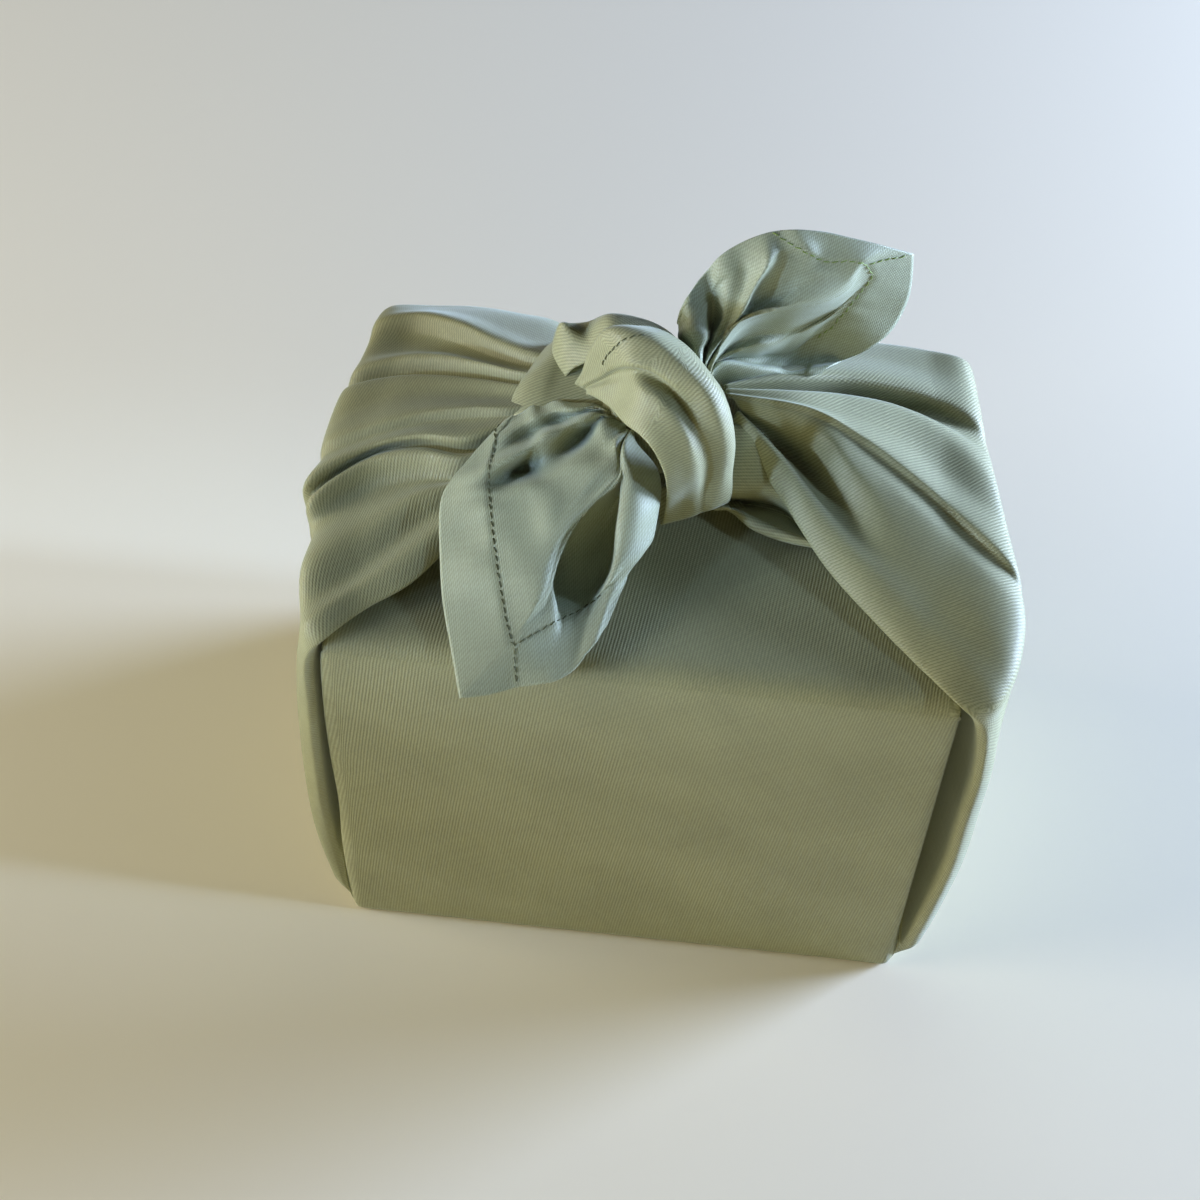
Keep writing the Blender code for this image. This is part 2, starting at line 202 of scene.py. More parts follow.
def lay_flat(grid, planar):
    """Flat places in millimetres for a folded grid, so that the weave keeps its real size."""
    rows, cols = (
        np.unique(np.linspace(0, size - 1, max(4, min(most, size // 2))).round().astype(int))
        for size, most in ((len(grid), 110), (len(grid[0]), 130))
    )
    coarse = grid[np.ix_(rows, cols)]
    if planar:
        centred = coarse.reshape(-1, 3) - coarse.reshape(-1, 3).mean(axis=0)
        axes = np.linalg.svd(centred, full_matrices=False)[2]
        flat = (centred @ axes[:2].T).reshape(len(rows), len(cols), 2)
    else:
        step = np.linalg.norm(np.diff(coarse, axis=0), axis=-1)
        wide = np.concatenate((np.zeros((1, len(cols))), np.cumsum(step, axis=0)))
        wide -= wide[len(rows) // 2]
        middle = coarse[len(rows) // 2]
        tall = np.concatenate(([0.0], np.cumsum(np.linalg.norm(np.diff(middle, axis=0), axis=-1))))
        flat = np.stack((wide, np.broadcast_to(tall, wide.shape)), axis=-1)
    flat = relax(flat, coarse)
    for axis, marks, size in ((0, rows, len(grid)), (1, cols, len(grid[0]))):
        flat = np.moveaxis(flat, axis, 0)
        low = np.clip(np.searchsorted(marks, np.arange(size), side="right") - 1, 0, len(marks) - 2)
        share = (np.arange(size) - marks[low]) / (marks[low + 1] - marks[low])
        flat = flat[low] * (1 - share)[:, None, None] + flat[low + 1] * share[:, None, None]
        flat = np.moveaxis(flat, 0, axis)
    return flat


def turn_weave(flat, grid, place, direction):
    """Turns the flat layout so that the twill's ribs run in a given direction at one place."""
    i = int(place[0] * (len(grid) - 2))
    j = int(place[1] * (len(grid[0]) - 2))
    across, along = grid[i + 1, j] - grid[i, j], grid[i, j + 1] - grid[i, j]
    sides = np.stack((across, along), axis=1)
    mix = np.linalg.lstsq(sides, np.array(direction, float), rcond=None)[0]
    rib = mix[0] * (flat[i + 1, j] - flat[i, j]) + mix[1] * (flat[i, j + 1] - flat[i, j])
    rib /= np.linalg.norm(rib)
    return flat @ np.array(((rib[1], rib[0]), (-rib[0], rib[1])))


def part_of_cloth(piece):
    """Hangs a piece on the root body and hides the CAD part wrapping_cloth, which the pieces replace."""
    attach(piece, "root")
    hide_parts("wrapping_cloth")
    return piece


def cloth_sheet(name, grid, materials, rib_place, rib_direction, flip=False, planar=False):
    """A piece of the cloth on a grid, given its thickness, its weave layout and its twill."""
    flat = turn_weave(lay_flat(grid, planar), grid, rib_place, rib_direction)
    count, size = len(grid), len(grid[0])
    index = np.arange(count * size).reshape(count, size)
    corners = (index[:-1, :-1], index[1:, :-1], index[1:, 1:], index[:-1, 1:])
    quads = np.stack(corners, axis=-1).reshape(-1, 4)
    if flip:
        quads = quads[:, ::-1]
    mesh = bpy.data.meshes.new(name)
    mesh.from_pydata((grid.reshape(-1, 3) * MM).tolist(), [], quads.tolist())
    layer = mesh.uv_layers.new(name="flat_cloth")
    layer.data.foreach_set("uv", (flat.reshape(-1, 2) * MM)[quads.reshape(-1)].reshape(-1))
    mesh.polygons.foreach_set("use_smooth", [True] * len(mesh.polygons))
    piece = bpy.data.objects.new(name, mesh)
    bpy.context.scene.collection.objects.link(piece)
    for material in materials:
        mesh.materials.append(material)
    solid = piece.modifiers.new("thickness", "SOLIDIFY")
    solid.thickness = CLOTH * MM
    solid.offset = -1.0
    solid.use_even_offset = False
    solid.material_offset = len(materials) - 1
    bpy.ops.object.select_all(action="DESELECT")
    bpy.context.view_layer.objects.active = piece
    piece.select_set(True)
    bpy.ops.object.modifier_apply(modifier=solid.name)
    piece.select_set(False)
    return part_of_cloth(piece)


def linear(hex_colour):
    """A linear colour from an sRGB hex value."""
    parts = [int(hex_colour[i : i + 2], 16) / 255 for i in (1, 3, 5)]
    return tuple(c / 12.92 if c <= 0.04045 else ((c + 0.055) / 1.055) ** 2.4 for c in parts) + (1.0,)


def add_node(tree, kind, settings, links):
    """Adds a node with its settings, input values and links from other nodes' outputs."""
    made = tree.nodes.new(kind)
    for key, value in settings.items():
        setattr(made, key, value)
    for key, value in links.items():
        if isinstance(value, bpy.types.NodeSocket):
            tree.links.new(value, made.inputs[key])
        else:
            made.inputs[key].default_value = value
    return made


def new_material(name):
    """An empty material, its node tree and its shader."""
    material = bpy.data.materials.new(name)
    material.use_nodes = True
    return material, material.node_tree, material.node_tree.nodes["Principled BSDF"]


def noise(tree, place, scale, detail):
    inputs = {"Vector": place, "Scale": scale, "Detail": detail}
    return add_node(tree, "ShaderNodeTexNoise", {}, inputs).outputs["Fac"]


def mapping(tree, place, inputs):
    return add_node(tree, "ShaderNodeMapping", {}, {"Vector": place, **inputs}).outputs["Vector"]


def bands(tree, place, pitch, direction, inputs):
    """Soft parallel bands, one for each pitch in metres."""
    return add_node(
        tree,
        "ShaderNodeTexWave",
        {"wave_type": "BANDS", "bands_direction": direction, "wave_profile": "SIN"},
        {"Vector": place, "Scale": math.pi / 10 / pitch, **inputs},
    ).outputs["Fac"]


def blend_colours(tree, share, low, high):
    inputs = {"Factor": share, 6: linear(low), 7: linear(high)}
    return add_node(tree, "ShaderNodeMix", {"data_type": "RGBA"}, inputs).outputs[2]


def map_range(tree, value, low, high, to_low, to_high):
    inputs = {"Value": value, "From Min": low, "From Max": high, "To Min": to_low, "To Max": to_high}
    return add_node(tree, "ShaderNodeMapRange", {}, inputs).outputs["Result"]


def raise_surface(tree, shader, height, distance, strength):
    """Gives a shader relief from a height pattern."""
    inputs = {"Height": height, "Distance": distance * MM, "Strength": strength}
    relief = add_node(tree, "ShaderNodeBump", {}, inputs).outputs["Normal"]
    tree.links.new(relief, shader.inputs["Normal"])


# Sage cotton twill, 2/1, woven from fine combed yarn and piece dyed. Its diagonal ribs are
# 0.93 mm apart with pale crests and darker furrows, broken up by single threads about 0.6 mm
# apart. Uneven yarn gives faint streaks along both thread directions and a fine irregular
# grain. The yarn has a low silky lustre. The reverse shows the ribs only weakly.
RIB_PITCH = 0.93 * MM
THREAD_PITCH = 0.62 * MM
THREAD_TURN = math.radians(48)  # the threads' direction, seen from the ribs'
WARP_STREAKS, WEFT_STREAKS = (900, 26, 1), (22, 700, 1)  # streaks in a metre, across and along
CLOUDS, GRAIN = 34.0, 1300.0  # pale and dark patches of the dye and grains of the yarn in a metre


def woven_twill(name, crest, furrow, rib_share, bump_height):
    material, tree, shader = new_material(name)
    place = add_node(tree, "ShaderNodeUVMap", {"uv_map": "flat_cloth"}, {}).outputs["UV"]
    turned = mapping(tree, place, {"Rotation": (0, 0, THREAD_TURN)})
    rib_run = {"Distortion": 0.7, "Detail": 1.0, "Detail Scale": 1.3}
    thread_run = {"Distortion": 1.4, "Detail": 1.0, "Detail Scale": 1.6}
    rib = bands(tree, place, RIB_PITCH, "X", rib_run)
    thread = bands(tree, turned, THREAD_PITCH, "X", thread_run)
    weave = add_node(
        tree, "ShaderNodeMix", {"data_type": "FLOAT"}, {"Factor": rib_share, 2: thread, 3: rib}
    ).outputs[0]
    warp = noise(tree, mapping(tree, turned, {"Scale": WARP_STREAKS}), 1.0, 2.0)
    weft = noise(tree, mapping(tree, turned, {"Scale": WEFT_STREAKS}), 1.0, 2.0)
    streaks = add_node(tree, "ShaderNodeMath", {"operation": "ADD"}, {0: warp, 1: weft}).outputs[0]
    patch = add_node(
        tree, "ShaderNodeMath", {"operation": "MULTIPLY_ADD"},
        {0: streaks, 1: 0.5, 2: noise(tree, place, CLOUDS, 3.0)},
    ).outputs[0]
    tone = add_node(
        tree, "ShaderNodeMath", {"operation": "ADD"}, {0: noise(tree, place, GRAIN, 2.0), 1: patch}
    ).outputs[0]
    colour = blend_colours(tree, weave, furrow, crest)
    shade = map_range(tree, tone, 1.1, 1.9, 0.86, 1.14)
    dyed = add_node(
        tree, "ShaderNodeVectorMath", {"operation": "SCALE"}, {0: colour, "Scale": shade}
    ).outputs["Vector"]
    tree.links.new(dyed, shader.inputs["Base Color"])
    tree.links.new(map_range(tree, tone, 1.0, 2.0, 0.64, 0.54), shader.inputs["Roughness"])
    raise_surface(tree, shader, weave, bump_height, 0.8)
    shader.inputs["Sheen Weight"].default_value = 0.35
    shader.inputs["Sheen Roughness"].default_value = 0.45
    shader.inputs["Sheen Tint"].default_value = linear("#DDE8E2")
    shader.inputs["IOR"].default_value = 1.5
    return material


twill_face = woven_twill("woven_sage_cotton_twill", "#9C9C75", "#787750", 0.72, 0.1)
# The reverse's paler, cooler colours are painted light: they stand in for the cool light that falls on
# the free corners, which show the reverse. Its weaker ribs are the reverse's own.
twill_reverse_painted_light = woven_twill("reverse_of_sage_cotton_twill_painted_light", "#A6AC90", "#868C6C", 0.45, 0.09)


def pleat_path(pleat_row):
    """Going round one corner, from the panel's edge to the outer fold: x beyond, y behind."""
    turn, deep, front, lip, back = pleat_row
    return (
        (turn - 0.7, 0.25),
        (turn, 1.0),
        (turn + 0.3, deep - 0.4),
        (turn + 0.9, deep),
        (turn + 1.5, deep - 0.4),
        (front, lip + 0.9),
        (0.5 * (front + back) - 0.2, lip),
    )


def strip_row(start, paths, place):
    """One row across the strip. place(x beyond, y behind, half width) gives each point."""
    row = []
    for share in (-1, 1):
        end = [place(share * (HALF_W + x), y) for x, y in paths[0 if share < 0 else 1][:4]]
        row.append(end[::-1] if share < 0 else end)
    edge = HALF_W - start
    middle = [place(edge * k / 5, 0.0) for k in range(-5, 6)]
    return row[0] + middle + row[1]


def strip_rows(side, left, right, start, flap_top, flap_end):
    """Rows of the strip from the base up one wall and along its flap. side -1 is the front."""
    rows = []
    for height, inset in BASE_ROWS:
        paths = [[(x - inset, y + inset) for x, y in BASE_CORNER[:4]]] * 2
        rows.append(strip_row(
            start + inset, paths, lambda x, y: (x, side * (HALF_D - max(y, inset)), height)
        ))
    for height, row_left, row_right in zip(WALL_HEIGHTS, left, right):
        swell = SWELL * math.sin(math.pi * height / RING)
        paths = [pleat_path(row_left), pleat_path(row_right)]

        def wall(x, y):
            belly = swell * math.cos(min(1.0, abs(x) / HALF_W) * math.pi / 2)
            return (x, side * (HALF_D - y + belly), height)

        rows.append(strip_row(start, paths, wall))
    bend = flap_top - RING
    skirt = ((-0.9, 0.3), (-0.2, 1.3), (0.0, 4.0), (0.0, 8.0))
    for k in range(1, 5):
        turn = k * math.pi / 8
        y = HALF_D - bend + bend * math.cos(turn)
        z = RING + bend * math.sin(turn)
        drop = [(x, d * math.sin(turn)) for x, d in skirt]
        rows.append(strip_row(start, [drop, drop], lambda x, d: (x, side * y, z - d)))
    far = abs(flap_end - side * (HALF_D - bend))
    for k in range(1, 6):
        y = side * (HALF_D - bend - far * k / 5)
        rows.append(strip_row(start, [skirt, skirt], lambda x, d: (x, y, flap_top - d)))
    return rows


front_rows = strip_rows(-1, LEFT_PLEAT, RIGHT_PLEAT, FRONT_START, HEIGHT, FRONT_FLAP_END)
back_rows = strip_rows(1, BACK_PLEAT, BACK_PLEAT, BACK_START, BACK_TOP, BACK_FLAP_END)
strip = fold_surface(front_rows[::-1] + back_rows, 2.2, 2.2)["grid"]
for x0, z0, x1, z1, half_width, depth in PANEL_FOLDS:
    run = np.array((x1 - x0, z1 - z0), float)
    spot = strip[:, :, [0, 2]] - (x0, z0)
    share = (spot @ run) / (run @ run)
    away = np.linalg.norm(spot - np.clip(share, 0, 1)[..., None] * run, axis=-1)
    on_panel = (strip[:, :, 1] < 2.0 - HALF_D) & (np.abs(strip[:, :, 0]) < HALF_W - 1.5)
    strip[:, :, 1] -= depth * np.exp(-((away / half_width) ** 2)) * on_panel
strip[:, :, 2] = np.maximum(strip[:, :, 2], 0.0)
wrap_strip = cloth_sheet("wrap_strip", strip, [twill_face], (0.3, 0.5), (0.12, 0.0, 1.0))

# --- Gathered ends ------------------------------------------------------------------------
# The left and right corners of the cloth. Each comes out of the hidden corner folds, covers
# its end wall, turns over the top edge and is drawn together in loose pleats to the knot.
# The pleats are pulled tight at the knot and open out towards the edge of the box.

RIGHT_FOLDS = (
    # fold, over the edge, then four places on the way in, and the neck at the knot
    ("front_edge", (90, -64.5, 161.2), (77.6, -52.8, 162.2), (64, -39.3, 163.4), (49.5, -24, 165.6),
     (34, -3.5, 171), (18, 14.5, 179.5)),
    ("front_roll", (98, -62, 162.5), (77.6, -42.5, 166.6), (63.2, -28.6, 169.4), (49.5, -13.5, 172.6),
     (33.8, 4.2, 178.6), (20, 15.5, 184)),
    ("hollow", (101.5, -57, 163.4), (79.2, -33.5, 168.2), (64.8, -19.5, 170.6), (50.8, -2.4, 170.2),
     (37.8, 10.2, 170), (21, 16.6, 181.6)),
    ("crest", (104.3, -48, 165), (80.9, -23, 170.6), (66.7, -9, 174), (54.5, 2, 178), (42.5, 13.2, 182),
     (18.6, 16.6, 187.2)),
    ("front_face", (105.8, -34, 166), (82, -12.5, 171.8), (68.2, -2, 175.2), (56.3, 6, 178.8),
     (43.5, 14.4, 183.2), (17.4, 16.6, 188.4)),
    ("crease", (105, -23.8, 165.2), (82.2, -3.6, 170.6), (69.1, 5, 174.8), (57.8, 11, 178.6),
     (44.4, 15.6, 183.6), (16.9, 16.7, 188.5)),
    ("long_ridge", (104.3, -20.8, 166.8), (81.6, -1.4, 172.7), (68.4, 7, 176.9), (56.8, 12.8, 180.8),
     (42, 16.8, 186.2), (16.5, 17, 189.4)),
    ("dip", (100.8, -3, 166), (80, 12, 171.4), (66.5, 18.5, 176), (52.5, 20.5, 180.8),
     (36.5, 19.3, 186.2), (16, 17.5, 189.3)),
    ("ridge", (97.6, 12, 166.8), (80, 25.5, 171.8), (67, 31, 174.4), (52, 29.6, 179),
     (34.5, 22.6, 186.6), (16, 18.2, 190)),
    ("under_ridge", (96.4, 19, 165.8), (79.5, 30, 170.4), (66.5, 33.6, 172.2), (51.5, 31.6, 176.6),
     (34.2, 24.4, 184.6), (15.8, 19.2, 188.8)),
    ("second_hollow", (95.6, 24, 164.8), (79.2, 32.5, 168), (66, 34.6, 167.6), (51, 32.6, 170.6),
     (33.8, 25.8, 178), (15.6, 19.9, 186.8)),
    ("eye_gap", (94, 30, 164.6), (78.5, 36, 167), (65.5, 36.6, 164.6), (50.5, 34.6, 167),
     (33.6, 28, 173.5), (15.5, 20.8, 185.4)),
    ("back_layer_edge", (92.5, 35, 167), (78, 38.5, 171.4), (65, 38.4, 175), (50.5, 36, 179),
     (33.8, 29.4, 184.6), (15.5, 21.6, 187.8)),
    ("back_layer", (89.6, 49, 166.6), (76, 51, 169), (61.5, 52, 171), (48, 49, 174), (33, 41, 178.6),
     (15, 23.5, 185.5)),
    ("back_edge", (87, 60.5, 165.4), (75, 62.8, 165.2), (60.5, 63, 165.8), (47, 60, 168),
     (32, 51, 171.6), (14.5, 25.5, 183)),
)
LEFT_FOLDS = (
    # fold, over the edge, then four places on the way in, and the neck at the knot
    ("front_edge", (-89.5, -64, 161.2), (-79, -53.5, 164), (-67.5, -45.3, 166.8), (-55, -29, 170.3),
     (-42, -12, 173.5), (-27, 2, 176)),
    ("front_roll", (-94, -60.5, 164.2), (-81, -48.5, 167.4), (-69.5, -38, 170.8), (-58, -27, 174),
     (-45, -11, 177), (-27, 3.2, 179)),
    ("hollow", (-96.5, -54, 162.2), (-81.5, -40.5, 165.8), (-70.5, -29.6, 169.2), (-59.5, -20, 172.8),
     (-45, -6, 176.2), (-27, 4.4, 179.5)),
    ("broad_front", (-98.5, -42, 165.6), (-83, -30, 169.8), (-70, -20, 173.6), (-58, -14.5, 176.2),
     (-44, -4, 178.8), (-27, 5.6, 180.8)),
    ("pocket", (-98.5, -24, 161.5), (-84, -13.5, 166.8), (-70, -11.4, 171.2), (-57, -11.6, 174.4),
     (-43.5, -3.5, 177.6), (-27, 6.5, 181.5)),
    ("low_pleat", (-100.6, -19.6, 167), (-84.5, -8.1, 174), (-70.5, -6.3, 178), (-56.5, -8.2, 180),
     (-43, -1, 181), (-27, 7.5, 183)),
    ("pleat_line", (-100.8, -15, 162.8), (-85, -2.8, 169.6), (-71, -1.1, 173.8), (-56.5, -3.8, 176.6),
     (-43, 1.5, 179.4), (-27, 8.6, 183)),
    ("high_pleat", (-102.4, -13.8, 168.4), (-85, -4.4, 175.4), (-71.5, -1.9, 179.5), (-57, -3.6, 182.8),
     (-43, 2.6, 184.8), (-27, 10, 186)),
    ("mid_valley", (-99.4, -3, 167), (-86, 1.1, 173.6), (-71.5, 4.6, 177.6), (-57.5, 5.7, 181),
     (-44, 5.4, 184.2), (-27, 11.3, 186)),
    ("mid_ridge", (-99.6, -0.4, 168.6), (-86, 2.6, 175.4), (-71.5, 5.8, 179.9), (-57.5, 6.7, 183.6),
     (-44, 6.4, 186.3), (-27, 12, 187.3)),
    ("wide_face", (-99.6, 9, 167.3), (-84, 15, 173.6), (-70, 16, 177.3), (-55, 13.8, 181.2),
     (-42, 12, 184.8), (-27, 14, 187.3)),
    ("face_end", (-97.6, 22.5, 167.4), (-83, 25.5, 172.3), (-69.5, 23.8, 176.8), (-55, 20, 181.4),
     (-42, 15.8, 185.7), (-27, 16.5, 188)),
    ("thin_line", (-96.8, 25.5, 163.8), (-82.5, 27.6, 168), (-69, 26.4, 172.2), (-55, 22.4, 177.4),
     (-42, 17.9, 183), (-27, 18, 187.6)),
    ("bright_roll", (-96, 29, 167.3), (-82, 31.8, 173.6), (-69, 30.2, 178.2), (-55, 24.8, 182.7),
     (-42, 19.8, 186.5), (-27, 20, 188.5)),
    ("wide_hollow", (-94.7, 38, 164.6), (-81, 40, 167.6), (-67.5, 37, 172), (-54, 30, 177.8),
     (-41.5, 23.5, 183.5), (-27, 22, 187.5)),
    ("under_broad", (-93.4, 47, 164), (-80.5, 48.2, 166.8), (-67, 42.3, 171.2), (-53.5, 33, 177),
     (-41, 25.5, 183), (-27, 23.5, 187)),
    ("broad_fold", (-92.8, 51, 166), (-80, 51.8, 171), (-66, 44.8, 176.6), (-52.5, 35.2, 181),
     (-40, 28, 185.3), (-27, 25.5, 187.5)),
    ("broad_back", (-92, 56, 164.6), (-78.5, 58, 166.6), (-65, 54, 170.8), (-52, 46, 175.4),
     (-40, 37, 180), (-27, 29.5, 184)),
    ("back_layer", (-91, 60.5, 162.6), (-77, 61.5, 164), (-63, 61, 166), (-50, 58.5, 168),
     (-38, 53, 171), (-27, 36, 177)),
    ("back_edge", (-89.8, 62.5, 161.4), (-76, 64, 162), (-62.5, 63.8, 163.5), (-49, 61.5, 164.8),
     (-37, 57.5, 167), (-27, 40, 172)),
)
# How far the cloth is turned under along the gather's front and back edges, edge to neck.
TUCK_SHARES = (1.0, 1.0, 1.0, 0.8, 0.5, 0.2)
TUCK_STEPS = ((12.0, 3.6), (7.0, 2.8), (0.9, 1.3))  # how far in and how far down
END_BULGE = 5.0  # how far an end wall bulges, mostly in its front half
WALL_REACH = 62.0  # how far from the middle a fold line stands on an end wall
TOP_FACE = 160.7  # turned-under cloth lies no lower than this over the top


def pleat_columns(side, end, pleat):
    """The upright lines of a corner pleat from its hidden fold to its outer fold."""
    columns = []
    for i in (3, 4, 5, 6):
        beyond, behind = BASE_CORNER[i]
        line = [
            (end * (HALF_W + beyond - inset), side * (HALF_D - behind - inset), height)
            for height, inset in BASE_ROWS
        ]
        for height, row in zip(WALL_HEIGHTS, pleat):
            x, y = pleat_path(row)[i]
            line.append((end * (HALF_W + x), side * (HALF_D - y), height))
        columns.append(line)
    return columns


def end_wall(end, over, front, back):
    """A fold line on the end wall below its place over the edge, from the base to the ring."""
    line = []
    for height, inset in BASE_ROWS:
        limit = HALF_D - inset - 6.0
        line.append((end * (HALF_W - inset + 0.3), max(-limit, min(limit, over[1])), height))
    y = max(-WALL_REACH, min(WALL_REACH, over[1]))
    share = (y + HALF_D) / (2 * HALF_D)
    for height, near, far in zip(WALL_HEIGHTS, front, back):
        stand_off = near[-1] * (1 - share) + far[-1] * share
        forward = math.sin(math.pi * math.sqrt(share))
        stand_off += END_BULGE * forward * math.sqrt(math.sin(math.pi * height / HEIGHT))
        crest = max(stand_off, abs(over[0]) - HALF_W + 1.0)
        stand_off += (crest - stand_off) * (height / RING) ** 4
        line.append((end * (HALF_W + stand_off), y, height))
    return line


def tucked(edge, way):
    """Lines turned under beside a gather's edge, nearest last. way 1 is turned back, -1 forward."""
    lines = []
    for inward, down in TUCK_STEPS:
        lines.append([
            (x, y + way * inward * share, max(TOP_FACE if k < 4 else 0.0, z - down * share))
            for k, ((x, y, z), share) in enumerate(zip(edge, TUCK_SHARES))
        ])
    return lines


def gathered_end(end, table, pleat):
    folds = [list(row[1:]) for row in table]
    front, back = pleat_columns(-1, end, pleat), pleat_columns(1, end, BACK_PLEAT)
    lines = [wall + top for wall, top in zip(front[:3], tucked(folds[0], 1))]
    lines.append(front[3] + folds[0])
    lines += [end_wall(end, fold[0], pleat, BACK_PLEAT) + fold for fold in folds[1:-1]]
    lines.append(back[3] + folds[-1])
    lines += [wall + top for wall, top in zip(back[:3], tucked(folds[-1], -1))][::-1]
    return fold_surface(lines, 1.5, 1.6)


right_end = cloth_sheet(
    "right_end", gathered_end(1, RIGHT_FOLDS, RIGHT_PLEAT)["grid"], [twill_face],
    (0.4, 0.72), (1.0, 0.55, 0.1),
)
left_end = cloth_sheet(
    "left_end", gathered_end(-1, LEFT_FOLDS, LEFT_PLEAT)["grid"], [twill_face],
    (0.5, 0.72), (0.35, 0.93, 0.1), flip=True,
)

# --- Knot ---------------------------------------------------------------------------------
# The left end crosses over the right one and is pulled down in front of it as a tight band,
# with a hemmed edge rolled along its upper side. Shorter bands pass behind and to the left.

FRONT_BAND = (
    # place, turned back in millimetres, then picks: outline, crest, roll's edge, valley, second
    # crest, face, inner edge
    ("pinch", (-22, 17, 187), (140, 350, 188), (158, 345, 191), (172, 350, 192), (180, 357, 191.5),
     (186, 362, 192), (188, 367, 192), (188, 373, 191.5)),
    ("rise", (-22, 19, 194), (165, 285, 196.5), (205, 290, 200), (232, 308, 200.6), (243, 322, 198.8),
     (238, 345, 199), (230, 368, 197.5), (222, 390, 195)),
    ("shoulder", (-19, 20, 203), (205, 185, 208), (262, 225, 209.5), (290, 270, 208), (300, 290, 205),
     (318, 335, 204.5), (300, 380, 201), (275, 425, 197)),
    ("crown", (-13, 20, 210.5), (275, 110, 217), (345, 190, 217), (365, 258, 215), (372, 280, 211),
     (395, 355, 210.5), (385, 420, 207), (340, 495, 201)),
    ("top", (-4.5, 18, 213), (430, 130, 219.2), (470, 205, 219), (450, 280, 215.5), (455, 305, 211),
     (465, 385, 211), (450, 455, 207.5), (400, 540, 202.5)),
    ("brow", (4, 13, 212.5), (560, 210, 217.5), (575, 275, 217.3), (530, 335, 213.5), (528, 365, 209),
     (525, 440, 209), (500, 520, 205), (445, 592, 200.5)),
    ("turn", (11, 8, 208), (675, 315, 213.5), (655, 365, 213), (590, 400, 209.5), (580, 435, 206),
     (570, 500, 206), (540, 580, 201.5), (480, 655, 196)),
    ("cheek", (15.5, 5.5, 202.5), (745, 425, 206.5), (712, 470, 206.8), (645, 490, 204.8),
     (625, 515, 202.8), (600, 575, 201.5), (565, 650, 196), (500, 715, 191)),
    ("side", (17.5, 3.5, 194.5), (776, 559, 195.4), (745, 590, 196.4), (685, 600, 196),
     (660, 615, 194.8), (625, 670, 193), (575, 730, 188), (505, 775, 184)),
    ("low", (17.8, 1.5, 183), (768, 680, 183), (738, 705, 184.2), (690, 715, 184.2), (662, 725, 183.2),
     (625, 770, 181), (565, 800, 178.5), (497, 835, 175.7)),
    ("bottom", (18, -1, 174), (748, 800, 171.8), (715, 822, 172.2), (675, 838, 172), (645, 845, 171.2),
     (605, 862, 170), (550, 878, 168.4), (484, 892, 166)),
)
FRONT_BAND_CROP = (540, 300, 3.98)
KNOT_MIDDLE = np.array((-3.0, 8.0, 188.0))
BACK, UP = 1, 2  # the axes along which a pick's third number is measured


def seen(crop, picks, axis):
    """Points in millimetres for picks in an enlarged crop of the camera's picture.

    A crop is its left and top pixel in the picture and its zoom. A pick is its x and y in the
    crop, and how high (UP) or how far back (BACK) the cloth lies there.
    """
    left, top, zoom = crop
    pixel = SENSOR / LENS / PICTURE
    points = []
    for x, y, level in picks:
        across = (left + x / zoom - PICTURE / 2) * pixel
        down = (top + y / zoom - PICTURE / 2) * pixel
        ray = camera_right * across - camera_up * down - camera_back
        reach = (level * MM - camera_place[axis]) / ray[axis]
        points.append(tuple(round(c / MM, 1) for c in camera_place + ray * reach))
    return points


def fold_lines(rows):
    """The fold lines that run through rows of points."""
    return [list(line) for line in zip(*rows)]


def drawn_in(points, share, towards):
    """Points moved part of the way towards one place, where cloth turns out of sight."""
    return [tuple(np.array(p) + share * (towards - np.array(p))) for p in points]


band_rows = [[row[1], *seen(FRONT_BAND_CROP, row[2:], UP)] for row in FRONT_BAND]
band_lines = fold_lines(band_rows)
for shift in ((0.6, 1.9, -1.2), (3.4, 6.8, -3.9)):
    band_lines.append([tuple(np.array(row[-1]) + shift) for row in band_rows])
for line in band_lines:
    line.insert(0, drawn_in(line[:1], 0.3, KNOT_MIDDLE)[0])
    line.append(drawn_in(line[-1:], 0.4, KNOT_MIDDLE + (0, 0, -10))[0])
front_band_folds = fold_surface(band_lines, 0.7, 0.8)
front_band = cloth_sheet(
    "knot_front_band", front_band_folds["grid"], [twill_face], (0.6, 0.55), (0.83, 0.48, 0.29)
)

SIDE_BAND = (
    # place, outer edge, shoulder, crest, dip, inner edge
    ("low_front", (-45, -5, 166), (-43, -5, 170), (-38, -4, 172), (-32, -2, 172), (-18, 1, 172)),
    ("front", (-47, 3, 178), (-44, 2, 182), (-38.5, 1.5, 184), (-33, 2, 184.5), (-18, 5, 185)),
    ("brow", (-46, 9, 183.5), (-43, 8.5, 186.5), (-38, 7.5, 188), (-33, 7.5, 188.5), (-18, 9, 190)),
    ("top", (-44, 16, 185.5), (-41, 16.5, 188.5), (-36, 17, 190.5), (-32, 17, 190.5), (-18, 16, 193)),
    ("fold", (-42, 22, 184.5), (-38, 24, 188.5), (-34, 25.5, 190.5), (-30, 26, 191), (-19, 25, 193)),
    ("back", (-38, 33, 183), (-35, 34.5, 186), (-32, 35.5, 187.5), (-29, 36, 188), (-25, 36, 188.5)),
    ("low_back", (-36, 40, 172), (-34, 41, 174), (-31, 41.5, 175), (-28, 41.5, 175), (-25, 41, 174)),
)
side_lines = fold_lines([row[1:] for row in SIDE_BAND])
side_lines.insert(0, drawn_in(side_lines[0], 0.2, KNOT_MIDDLE))
side_band = cloth_sheet(
    "knot_side_band", fold_surface(side_lines, 0.9, 0.9)["grid"], [twill_face],
    (0.5, 0.5), (1.0, 0.3, 0.1),
)

